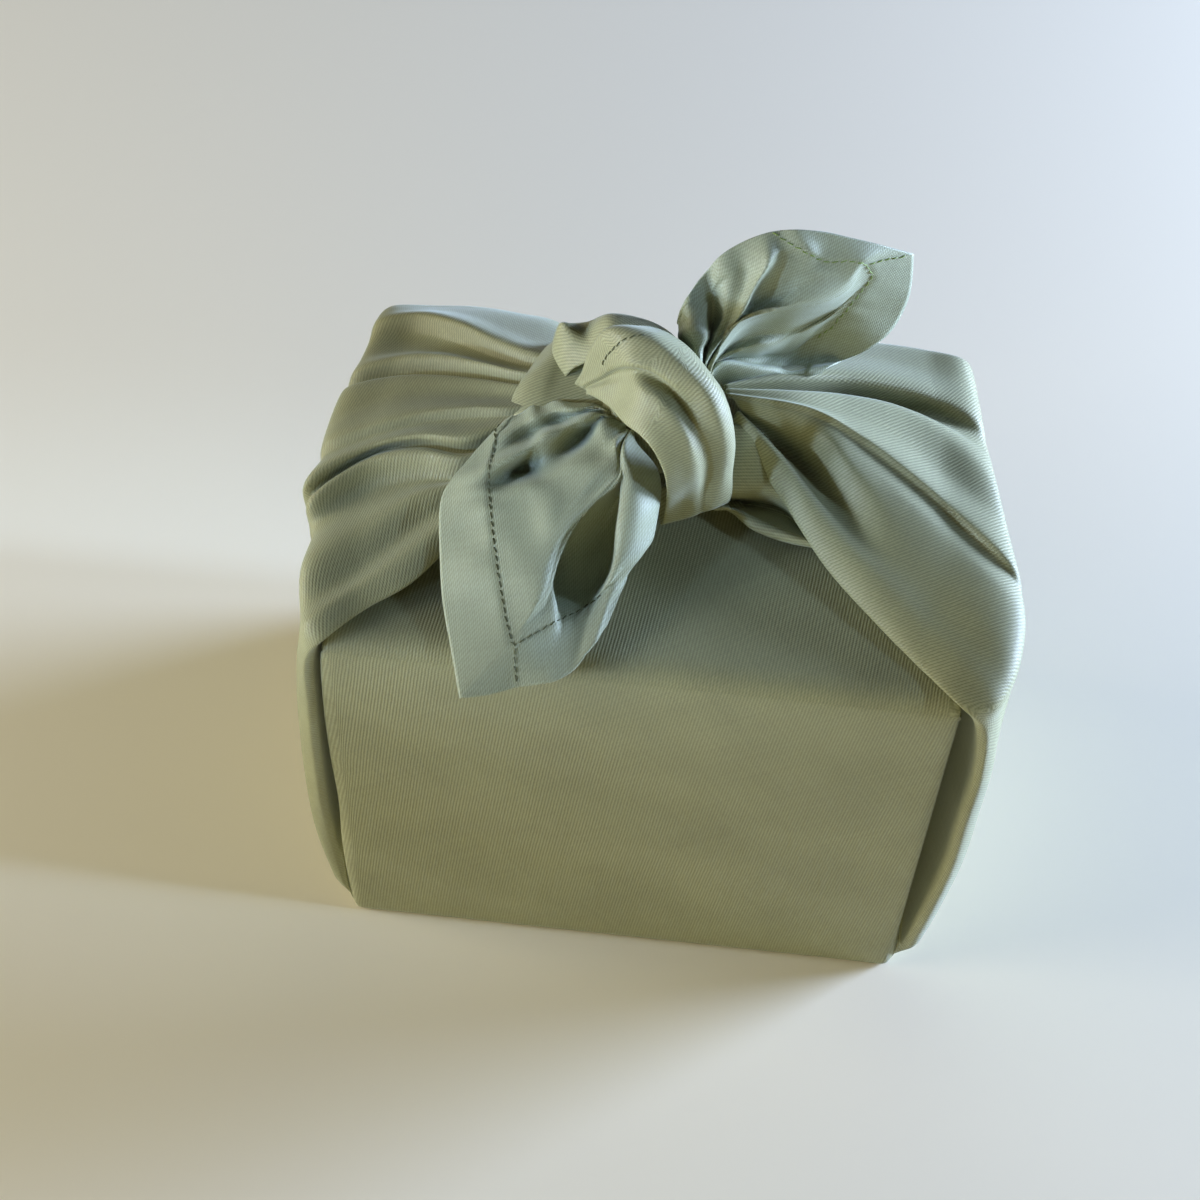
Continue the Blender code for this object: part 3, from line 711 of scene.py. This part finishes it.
REAR_BAND = (
    # place, back edge, back slope, crest, front slope, front edge
    ("low_left", (-31, 38, 168), (-35, 33, 172), (-37, 27, 176), (-36.5, 22, 178), (-34, 18, 179)),
    ("left", (-35, 34, 186), (-35.5, 30, 192), (-34.5, 25, 196.5), (-32, 20.5, 196), (-29, 16, 194)),
    ("point", (-30, 33, 194), (-32.5, 29, 199), (-32.5, 25, 203.5), (-29, 20, 199), (-26, 16, 197)),
    ("hollow", (-25, 33, 197), (-26.5, 29, 200), (-26, 24.5, 201.5), (-24, 20, 202), (-22.5, 15, 201)),
    ("ridge", (-20, 32.5, 201), (-20, 29, 205), (-19.5, 25, 209), (-18.5, 20, 210), (-18, 14, 208)),
    ("top", (-12, 32, 201), (-12, 28.5, 205.5), (-11.5, 24, 208.8), (-11, 18, 210), (-11, 12, 210)),
    ("right", (-3, 31, 198), (-3, 27, 203), (-3, 22, 206), (-3, 17, 208), (-3, 11, 208)),
    ("low_right", (11, 27, 182), (12.5, 23, 187), (13, 18, 190), (12, 14, 192), (9, 10, 194)),
)
rear_lines = fold_lines([row[1:] for row in REAR_BAND])
rear_band = cloth_sheet(
    "knot_rear_band", fold_surface(rear_lines, 0.9, 0.9)["grid"], [twill_face],
    (0.5, 0.5), (0.7, -0.3, 0.6),
)

NECK_LIP = (
    # place, then picks: tucked top, neck, its lower side, cavity, upper fold, belly, lower edge
    ("in_the_knot", (170, 440, 182), (165, 520, 177), (160, 570, 171), (165, 590, 165), (160, 603, 167),
     (155, 612, 166), (150, 620, 163.4)),
    ("near", (212, 440, 181), (205, 520, 176), (200, 580, 170), (215, 592, 164), (203, 604, 167.3),
     (192, 613, 166.5), (187, 623, 163.2)),
    ("middle", (245, 450, 181), (250, 520, 176), (262, 575, 171), (275, 602, 163.2), (262, 628, 167.5),
     (250, 649, 166.5), (243, 665, 163)),
    ("far", (262, 480, 178), (285, 540, 173.5), (300, 590, 169), (310, 617, 163.2), (318, 650, 168),
     (313, 673, 167), (310, 691, 163)),
    ("end", (300, 560, 173), (322, 600, 170), (335, 625, 168), (345, 642, 163.6), (366, 668, 167),
     (373, 688, 166), (376, 704, 163)),
)
LIP_CROP = (640, 220, 2.143)
CAVITY_FLOOR, LIP_FLOOR = 161.4, 162.2


def lip_row(picks):
    """One row of the lip, its cavity and folds moved a little from their picks, and its hidden edge."""
    points = seen(LIP_CROP, picks, UP)
    cavity, upper, belly, lower = points[3:]
    points[3] = (cavity[0], cavity[1] - 0.7, CAVITY_FLOOR)
    points[4] = (upper[0], upper[1] - 1.2, upper[2] - 2.0)
    points[5] = (belly[0], belly[1], belly[2] - 0.8)
    return points + [(lower[0] - 0.5, lower[1] + 7.0, LIP_FLOOR)]


lip_lines = fold_lines([lip_row(row[1:]) for row in NECK_LIP])
neck_lip = cloth_sheet(
    "neck_lip", fold_surface(lip_lines, 0.9, 0.9)["grid"], [twill_face], (0.5, 0.5), (1.0, -0.4, 0.0)
)

# Cloth crushed inside the knot shows only as a dark filling between the bands.
WIDE, DEEP, TALL = 17.0, 10.5, 18.5  # half the filling's width, depth and height
FILLING_MIDDLE = Vector((-3.0, 10.0, 185.5))
bpy.ops.object.select_all(action="DESELECT")
bpy.ops.mesh.primitive_uv_sphere_add(segments=40, ring_count=24, radius=1.0)
knot_filling = bpy.context.active_object
knot_filling.name = "knot_filling"
fill_mesh = knot_filling.data
lean = Matrix.Rotation(math.radians(-24), 3, "X")
for vert in fill_mesh.vertices:
    angle = math.atan2(vert.co.y, vert.co.x)
    pucker = 1.0 + 0.05 * math.sin(7 * angle + 2.0 * vert.co.z) + 0.03 * math.sin(13 * angle)
    spot = Vector((WIDE * vert.co.x * pucker, DEEP * vert.co.y * pucker, TALL * vert.co.z))
    vert.co = (lean @ spot + FILLING_MIDDLE) * MM
fill_layer = fill_mesh.uv_layers.active
fill_layer.name = "flat_cloth"
for loop in fill_layer.data:
    loop.uv = (loop.uv[0] * 0.1, loop.uv[1] * 0.06)
fill_mesh.materials.append(twill_face)
bpy.ops.object.shade_smooth()
part_of_cloth(knot_filling)

# --- Free corners -------------------------------------------------------------------------
# The two corners of the cloth stand out of the knot like petals. Their edges are turned over
# 15 mm to the reverse side and sewn down, so the strip along each edge is a little thicker.

FRONT_CORNER = (
    # line, then seven picks from the knot out: the sixth is on the stitching, the last the edge
    ("top_edge", (557, 114, 191), (486, 109, 190), (429, 110, 189), (380, 121, 188), (338, 133, 187),
     (295, 160, 185.5), (247, 190, 183.5)),
    ("top_roll", (563, 128, 192.3), (500, 135, 192), (434, 143, 190.8), (376, 163, 189.3),
     (318, 192, 187.8), (232, 240, 185.3), (165, 278, 182.5)),
    ("top_crease", (575, 140, 190.3), (512, 152, 188.3), (450, 172, 187), (390, 197, 186),
     (325, 232, 185), (217, 290, 184.6), (125, 325, 181.5)),
    ("ridge", (582, 152, 192), (524, 176, 192), (452, 205, 191), (382, 242, 189.5), (312, 290, 187.8),
     (206, 340, 185.5), (80, 375, 180.5)),
    ("dimple", (595, 162, 189.5), (548, 207, 185), (490, 262, 183.8), (400, 312, 184.3),
     (308, 352, 177.5), (204, 390, 183), (50, 420, 178.8)),
    ("dimple_rim", (602, 178, 191), (562, 235, 189.5), (508, 300, 188.2), (420, 365, 186.4),
     (322, 402, 184.3), (206, 432, 182.5), (38, 462, 177.6)),
    ("upper_face", (612, 200, 191.2), (592, 280, 190.3), (538, 335, 188.8), (455, 402, 186.5),
     (350, 452, 183.6), (210, 492, 181.2), (33, 522, 176)),
    ("face", (626, 222, 191.5), (613, 302, 190.4), (545, 402, 187.4), (450, 502, 183.6),
     (362, 578, 180.3), (222, 602, 177.6), (35, 640, 172.2)),
    ("low_face", (638, 240, 191.5), (635, 330, 190), (560, 432, 186.4), (466, 550, 181.9),
     (378, 685, 177), (243, 750, 172.6), (44, 800, 166.4)),
    ("near_tip", (645, 250, 191.5), (646, 345, 189.8), (562, 450, 185.6), (462, 575, 180.4),
     (376, 755, 174.2), (262, 860, 168.5), (72, 960, 162)),
    ("tip", (650, 258, 191.4), (650, 352, 189.5), (562, 457, 185.2), (461, 582, 179.9),
     (375, 800, 172.3), (283, 942, 166), (103, 1138, 158)),
    ("bottom", (653, 265, 191.3), (653, 357, 189.3), (561, 462, 184.9), (461, 586, 179.6),
     (386, 798, 171.9), (290, 946, 165.9), (200, 1126, 158.4)),
    ("step", (655, 270, 191.2), (655, 361, 189.1), (561, 466, 184.6), (462, 589, 179.4),
     (397, 792, 171.9), (299, 946, 166), (298, 1100, 159.2)),
    ("low_rim", (657, 274, 191.1), (657, 364, 189), (560, 470, 184.3), (464, 592, 179.1),
     (414, 772, 172.2), (362, 912, 167), (350, 1092, 160.2)),
    ("border", (658, 277, 191), (658, 367, 188.8), (560, 474, 184), (468, 595, 178.7),
     (430, 740, 172.7), (440, 868, 167.6), (400, 1085, 161.2)),
    ("border_under", (655, 300, 187), (648, 392, 181), (535, 515, 172), (440, 650, 166),
     (415, 790, 165), (458, 860, 166.3), (425, 1080, 161.5)),
    ("trough", (660, 305, 185), (660, 410, 175), (600, 560, 166), (530, 700, 163.3), (480, 800, 164),
     (500, 842, 165.4), (465, 1062, 161.9)),
    ("roll_under", (664, 303, 186.5), (670, 425, 180), (655, 570, 169.5), (610, 700, 165),
     (560, 790, 165), (556, 810, 165.3), (505, 1033, 162.6)),
    ("roll_left", (664, 285, 191), (657, 385, 187.8), (655, 520, 182.3), (645, 620, 177.8),
     (620, 735, 172.5), (600, 772, 169.4), (540, 985, 163.9)),
    ("roll_crest", (672, 275, 191.8), (697, 372, 189.4), (715, 490, 184), (697, 600, 179),
     (658, 695, 174.2), (632, 755, 170.8), (568, 950, 164.9)),
    ("roll_right", (690, 275, 190.5), (747, 350, 187.2), (768, 468, 182), (752, 580, 177.4),
     (702, 680, 173.4), (656, 746, 170.4), (588, 915, 165.1)),
    ("roll_edge", (712, 240, 188.5), (785, 335, 184), (797, 450, 180), (782, 558, 176), (735, 640, 173),
     (685, 715, 170.3), (610, 880, 165.4)),
)
BACK_CORNER = (
    # line, then six picks from the knot out: the fifth is on the stitching, the last the edge
    ("left_edge", (205, 800, 24), (150, 745, 26), (115, 690, 28), (103, 650, 29.5), (108, 610, 31),
     (122, 575, 32)),
    ("lobe", (225, 790, 22), (200, 700, 24), (180, 610, 26.5), (170, 541, 29), (163, 490, 31),
     (158, 455, 33)),
    ("lobe_right", (242, 790, 22.5), (262, 700, 24.5), (258, 620, 27), (245, 540, 30), (225, 470, 33),
     (198, 392, 36)),
    ("valley", (252, 790, 26.5), (285, 700, 30), (302, 610, 33), (305, 520, 35), (295, 430, 37),
     (262, 308, 40)),
    ("rise", (262, 792, 25), (335, 650, 28.5), (375, 530, 32), (385, 430, 35), (375, 340, 38),
     (345, 213, 42.5)),
    ("left_face", (268, 796, 24.5), (365, 650, 28.5), (445, 510, 32.5), (490, 400, 36), (500, 290, 40),
     (440, 148, 45)),
    ("ridge", (275, 800, 23.5), (385, 660, 27), (475, 530, 30.5), (550, 390, 34.5), (625, 240, 39.5),
     (600, 80, 47)),
    ("under_ridge", (285, 800, 26), (400, 655, 31), (500, 520, 35), (600, 370, 39), (700, 200, 43.5),
     (700, 60, 48.5)),
    ("facet", (295, 800, 27), (440, 630, 32), (620, 460, 37), (760, 330, 41), (850, 195, 44.5),
     (800, 55, 49)),
    ("facet_low", (300, 803, 27), (450, 625, 32), (700, 440, 37.5), (880, 310, 42), (960, 242, 45),
     (950, 68, 50)),
    ("facet_end", (305, 805, 26.5), (460, 620, 31.5), (760, 440, 37), (1000, 320, 43), (1090, 240, 46),
     (1110, 103, 51)),
    ("second_ridge", (310, 808, 24.5), (470, 583, 29), (800, 482, 35.5), (1060, 385, 42),
     (1170, 250, 46.5), (1290, 148, 52.5)),
    ("tip", (318, 812, 26), (490, 610, 30.5), (820, 510, 36.5), (1090, 410, 43), (1200, 262, 48),
     (1470, 195, 56)),
    ("below_tip", (322, 815, 28), (500, 650, 33), (800, 560, 38), (1050, 480, 43), (1228, 330, 49),
     (1462, 330, 55)),
    ("side", (326, 820, 29), (520, 690, 34), (760, 640, 38.5), (1000, 540, 43), (1175, 405, 47.5),
     (1440, 460, 52.5)),
    ("hump", (330, 825, 27), (560, 720, 32), (720, 700, 36), (880, 620, 40), (1090, 512, 45),
     (1375, 595, 49)),
    ("low_side", (334, 830, 27.5), (580, 750, 33), (700, 760, 37), (830, 700, 40.5), (1000, 612, 43.5),
     (1290, 690, 45.5)),
    ("streak", (336, 834, 29), (560, 790, 34), (660, 800, 37), (770, 770, 40), (900, 705, 42),
     (1180, 765, 42)),
    ("rim_inner", (338, 838, 28), (520, 822, 31.5), (650, 845, 34.5), (750, 850, 36.5),
     (860, 830, 38.5), (1050, 820, 39.5)),
    ("rim", (330, 845, 24), (500, 838, 27), (650, 865, 30), (750, 875, 32), (860, 870, 34),
     (1000, 850, 36)),
    ("rim_lower", (300, 880, 23), (450, 880, 25), (600, 890, 28), (720, 895, 30), (840, 890, 32),
     (930, 878, 34)),
    ("tongue", (260, 950, 22), (380, 995, 24), (480, 955, 27), (560, 930, 29), (650, 905, 31),
     (760, 892, 33)),
)
FRONT_CORNER_CROP = (430, 370, 3.4615)
BACK_CORNER_CROP = (660, 220, 5.807)
HEM_RISE = 0.45  # how far the turned hem stands above the single cloth
PUCKER, HEM_WAVE, BULGE = 0.25, 0.55, 0.4  # unevenness along the seam, in the hem and inside it
ROOT_SHARE, TIP_SHARE = 0.7, 0.12  # how far a root is drawn in, and how near extra lines are to the tip


def blurred(grid, rounds):
    """The grid with its small folds smoothed away, for steady outward directions."""
    soft = grid.copy()
    for _ in range(rounds):
        soft[1:-1] = (soft[:-2] + soft[1:-1] + soft[2:]) / 3
        soft[:, 1:-1] = (soft[:, :-2] + soft[:, 1:-1] + soft[:, 2:]) / 3
    return soft


def outward_sides(grid):
    """The direction that stands square on a grid, at each of its points."""
    side = np.cross(np.gradient(grid, axis=0), np.gradient(grid, axis=1))
    return side / np.maximum(np.linalg.norm(side, axis=-1, keepdims=True), 1e-9)


def free_corner(table, crop, axis, root, stitch_place, outward):
    """A corner's folds out of the knot. Its sewn hem stands a little above the rest.

    The seam puckers a little, and the hem and the cloth inside it are faintly uneven.
    """
    names = [row[0] for row in table]
    rows = [seen(crop, row[1:], axis) for row in table]
    lines = [drawn_in(row[:1], ROOT_SHARE, np.array(root)) + row for row in rows]
    tip = names.index("tip")
    for other, at in ((tip + 1, tip + 1), (tip - 1, tip)):
        ends = [(np.array(p), np.array(q)) for p, q in zip(lines[tip], lines[other])]
        lines.insert(at, [tuple(p + TIP_SHARE * (q - p)) for p, q in ends])
    folds = fold_surface(lines, 0.8, 0.9)
    grid = folds["grid"]
    soft = blurred(grid, 4)
    side = outward * outward_sides(soft)
    seam = folds["places"][stitch_place]
    steps = np.arange(len(grid[0])) - seam
    lift = 1 / (1 + np.exp(-(steps + 1.0) * 2.2)) * HEM_RISE - 0.35 * np.exp(-(steps / 1.2) ** 2)
    gaps = np.linalg.norm(np.diff(soft[:, seam], axis=0), axis=-1)
    along = np.append(0.0, np.cumsum(gaps))[:, None]
    pucker = np.sin(along * 0.78 + 1.6 * np.sin(along * 0.21)) * np.exp(-(steps / 5.0) ** 2)
    wave = np.sin(along * 0.27 + 0.7) * np.exp(-((steps - 9.0) / 8.0) ** 2)
    bulge = np.sin(along * 0.17 + steps * 0.23) * (steps < 0) * (1 - np.exp(steps / 8.0))
    from_tip = along - along[folds["lines"][tip + 1]]
    near_seam = (PUCKER * pucker + HEM_WAVE * wave) * (1 - np.exp(-((from_tip / 13.0) ** 2)))
    folds["grid"] = grid + side * (lift + near_seam + BULGE * bulge)[..., None]
    folds["side"] = side
    return folds


front_folds = free_corner(FRONT_CORNER, FRONT_CORNER_CROP, UP, (-10, 4, 188), 6, -1)
front_corner = cloth_sheet(
    "front_corner", front_folds["grid"], [twill_reverse_painted_light, twill_face],
    (0.4, 0.5), (0.53, 0.84, 0.1), flip=True, planar=True,
)
back_folds = free_corner(BACK_CORNER, BACK_CORNER_CROP, BACK, (8, 14, 187), 5, 1)
back_corner = cloth_sheet(
    "back_corner", back_folds["grid"], [twill_reverse_painted_light, twill_face],
    (0.5, 0.5), (0.5, 0.2, 0.8), planar=True,
)

# --- Hem stitching ------------------------------------------------------------------------
# Each hem is sewn by machine with cotton thread, 2.5 mm to a stitch. Each stitch lies a
# little slantwise and dips into the cloth at both ends.

STITCH_LENGTH, THREAD = 2.5, 0.36
TWIST_PITCH = 0.3 * MM
# The bends of a stitch: how far along it, and how high above the cloth.
STITCH_BENDS = ((0.08, -0.45), (0.2, 0.12), (0.5, 0.3), (0.8, 0.12), (0.92, -0.45))
THREAD_SIDES = 6


def sewing_thread(name, crest, furrow):
    """Mercerised cotton sewing thread: twisted from three plies, with a soft shine."""
    material, tree, shader = new_material(name)
    place = add_node(tree, "ShaderNodeTexCoord", {}, {}).outputs["Object"]
    twist = bands(tree, place, TWIST_PITCH, "DIAGONAL", {"Distortion": 1.0})
    tree.links.new(blend_colours(tree, twist, furrow, crest), shader.inputs["Base Color"])
    raise_surface(tree, shader, twist, 0.05, 0.7)
    shader.inputs["Roughness"].default_value = 0.5
    return material


thread_olive = sewing_thread("mercerised_cotton_thread_olive", "#5F6338", "#3B3D22")
thread_green = sewing_thread("mercerised_cotton_thread_green", "#8FA348", "#5F7430")


def on_folds(folds, line, place):
    """The spot and the outward direction at a fractional line and place of the fold table."""
    i = float(np.interp(line, range(len(folds["lines"])), folds["lines"]))
    j = float(np.interp(place, range(len(folds["places"])), folds["places"]))
    i0, j0 = min(int(i), len(folds["grid"]) - 2), min(int(j), len(folds["grid"][0]) - 2)
    a, b = i - i0, j - j0
    spots = []
    for layer in (folds["grid"], folds["side"]):
        near = layer[i0, j0] * (1 - b) + layer[i0, j0 + 1] * b
        far = layer[i0 + 1, j0] * (1 - b) + layer[i0 + 1, j0 + 1] * b
        spots.append(near * (1 - a) + far * a)
    return spots


def stitch_row(name, folds, path, material):
    """A row of stitches along a path of (line, place), one small bent thread for each."""
    fine = np.array([
        np.array(a) + (np.array(b) - np.array(a)) * t
        for a, b in zip(path, path[1:])
        for t in np.linspace(0, 1, 120, endpoint=False)
    ])
    spots, sides = zip(*[on_folds(folds, line, place) for line, place in fine])
    spots, sides = np.array(spots), np.array(sides)
    run = np.concatenate(([0.0], np.cumsum(np.linalg.norm(np.diff(spots, axis=0), axis=1))))

    def on_run(values, at):
        return np.array([np.interp(at, run, values[:, c]) for c in range(3)])

    verts, faces = [], []
    for k in range(int(run[-1] / STITCH_LENGTH)):
        slant = 0.16 * math.sin(2.3 * k) + 0.22
        ring_starts = []
        for t, drop in STITCH_BENDS:
            at = (k + t) * STITCH_LENGTH
            spot, side = on_run(spots, at), on_run(sides, at)
            ahead = on_run(spots, at + 0.4) - spot
            ahead /= max(np.linalg.norm(ahead), 1e-9)
            beside = np.cross(side, ahead)
            centre = spot + side * drop + beside * (t - 0.5) * 2 * slant
            ring_starts.append(len(verts))
            for m in range(THREAD_SIDES):
                angle = m * 2 * math.pi / THREAD_SIDES
                verts.append(centre + 0.5 * THREAD * (math.cos(angle) * beside + math.sin(angle) * side))
        for a, b in zip(ring_starts, ring_starts[1:]):
            for m in range(THREAD_SIDES):
                n = (m + 1) % THREAD_SIDES
                faces.append((a + m, a + n, b + n, b + m))
        faces.append([ring_starts[0] + m for m in reversed(range(THREAD_SIDES))])
        faces.append([ring_starts[-1] + m for m in range(THREAD_SIDES)])
    mesh = bpy.data.meshes.new(name)
    mesh.from_pydata((np.array(verts) * MM).tolist(), [], faces)
    mesh.polygons.foreach_set("use_smooth", [True] * len(mesh.polygons))
    mesh.materials.append(material)
    row = bpy.data.objects.new(name, mesh)
    bpy.context.scene.collection.objects.link(row)
    bpy.ops.object.select_all(action="DESELECT")
    bpy.context.view_layer.objects.active = row
    row.select_set(True)
    bpy.ops.object.mode_set(mode="EDIT")
    bpy.ops.mesh.select_all(action="SELECT")
    bpy.ops.mesh.normals_make_consistent(inside=False)
    bpy.ops.object.mode_set(mode="OBJECT")
    row.select_set(False)
    return part_of_cloth(row)


front_band_folds["side"] = outward_sides(front_band_folds["grid"])
stitching = [
    stitch_row(name, folds, path, thread)
    for name, folds, path, thread in (
        ("hem_stitches_front_left", front_folds,
         [(0, 7), (1, 6), (13, 6), (14, 6.1), (14, 6.95)], thread_olive),
        ("hem_stitches_front_bottom", front_folds, [(14.1, 6), (20, 6)], thread_olive),
        ("hem_stitches_back_top", back_folds,
         [(6.5, 6), (8, 5), (12, 5), (13, 5.2), (13, 5.9)], thread_green),
        ("hem_stitches_back_side", back_folds, [(13, 5), (19, 5)], thread_green),
        ("hem_stitches_band", front_band_folds,
         [(2.3, 2.6), (2, 3.05), (1.8, 3.8), (1.45, 4.6), (1.2, 5)], thread_olive),
    )
]

# --- One cloth ----------------------------------------------------------------------------
# All the pieces are parts of one 700 mm square; the rest of it is rolled inside the knot and
# in the folds that don't show.

# --- Floor and light ----------------------------------------------------------------------
# A pale matt floor. A low cool window light stands behind on the right, a dim warm light in
# front and a neutral one on the left. Three small spots with soft edges pick out the front
# corner, the knot and the right gather.

bpy.ops.object.select_all(action="DESELECT")
bpy.ops.mesh.primitive_plane_add(size=8.0, location=(0, 0, 0))
floor = bpy.context.active_object
floor.name = "floor"
bpy.ops.object.mode_set(mode="EDIT")
bpy.ops.mesh.subdivide(number_cuts=3)
bpy.ops.object.mode_set(mode="OBJECT")
paint, _, paint_shader = new_material("matt_pale_floor")
paint_shader.inputs["Base Color"].default_value = linear("#F4ECD6")
paint_shader.inputs["Roughness"].default_value = 0.9
floor.data.materials.append(paint)


def soft_light(name, place, aim, size, power, colour, cone=None):
    """A round soft light aimed at a place, or a soft-edged spot where a cone is given."""
    data = bpy.data.lights.new(name, "SPOT" if cone else "AREA")
    if cone:
        data.spot_size = math.radians(cone)
        data.spot_blend = 1.0
        data.shadow_soft_size = size
    else:
        data.shape = "DISK"
        data.size = size
    data.energy = power
    data.color = colour
    light = bpy.data.objects.new(name, data)
    bpy.context.scene.collection.objects.link(light)
    light.location = place
    light.rotation_euler = (Vector(aim) - Vector(place)).to_track_quat("-Z", "Y").to_euler()
    return light


BOX_MIDDLE = (0, 0, 0.1)
soft_light("window_light", (1.35, 0.5, 0.26), BOX_MIDDLE, 0.6, 82.0, (0.52, 0.66, 1.0))
soft_light("room_light", (0.0, -1.5, 0.25), BOX_MIDDLE, 1.0, 6.3, (1.0, 0.93, 0.55))
soft_light("side_light", (-1.28, -0.18, 0.42), BOX_MIDDLE, 0.9, 16.0, (1.0, 0.95, 0.78))
soft_light(
    "tail_light", (-0.9, -0.5, 0.36), (-0.042, -0.032, 0.184), 0.08, 80.0, (0.5, 0.65, 1.0), 6.5
)
soft_light(
    "knot_light", (-0.7, -0.6, 0.44), (0.0, -0.005, 0.212), 0.08, 120.0, (0.45, 0.62, 1.0), 5.5
)
soft_light(
    "gather_light", (1.05, -0.02, 0.72), (0.112, 0.0, 0.168), 0.12, 180.0, (0.47, 0.66, 1.0), 5.4
)
world = bpy.data.worlds.new("pale_room")
world.use_nodes = True
world.node_tree.nodes["Background"].inputs["Color"].default_value = (0.95, 0.97, 1.0, 1.0)
world.node_tree.nodes["Background"].inputs["Strength"].default_value = 0.04
bpy.context.scene.world = world
bpy.context.scene.view_settings.view_transform = "Standard"
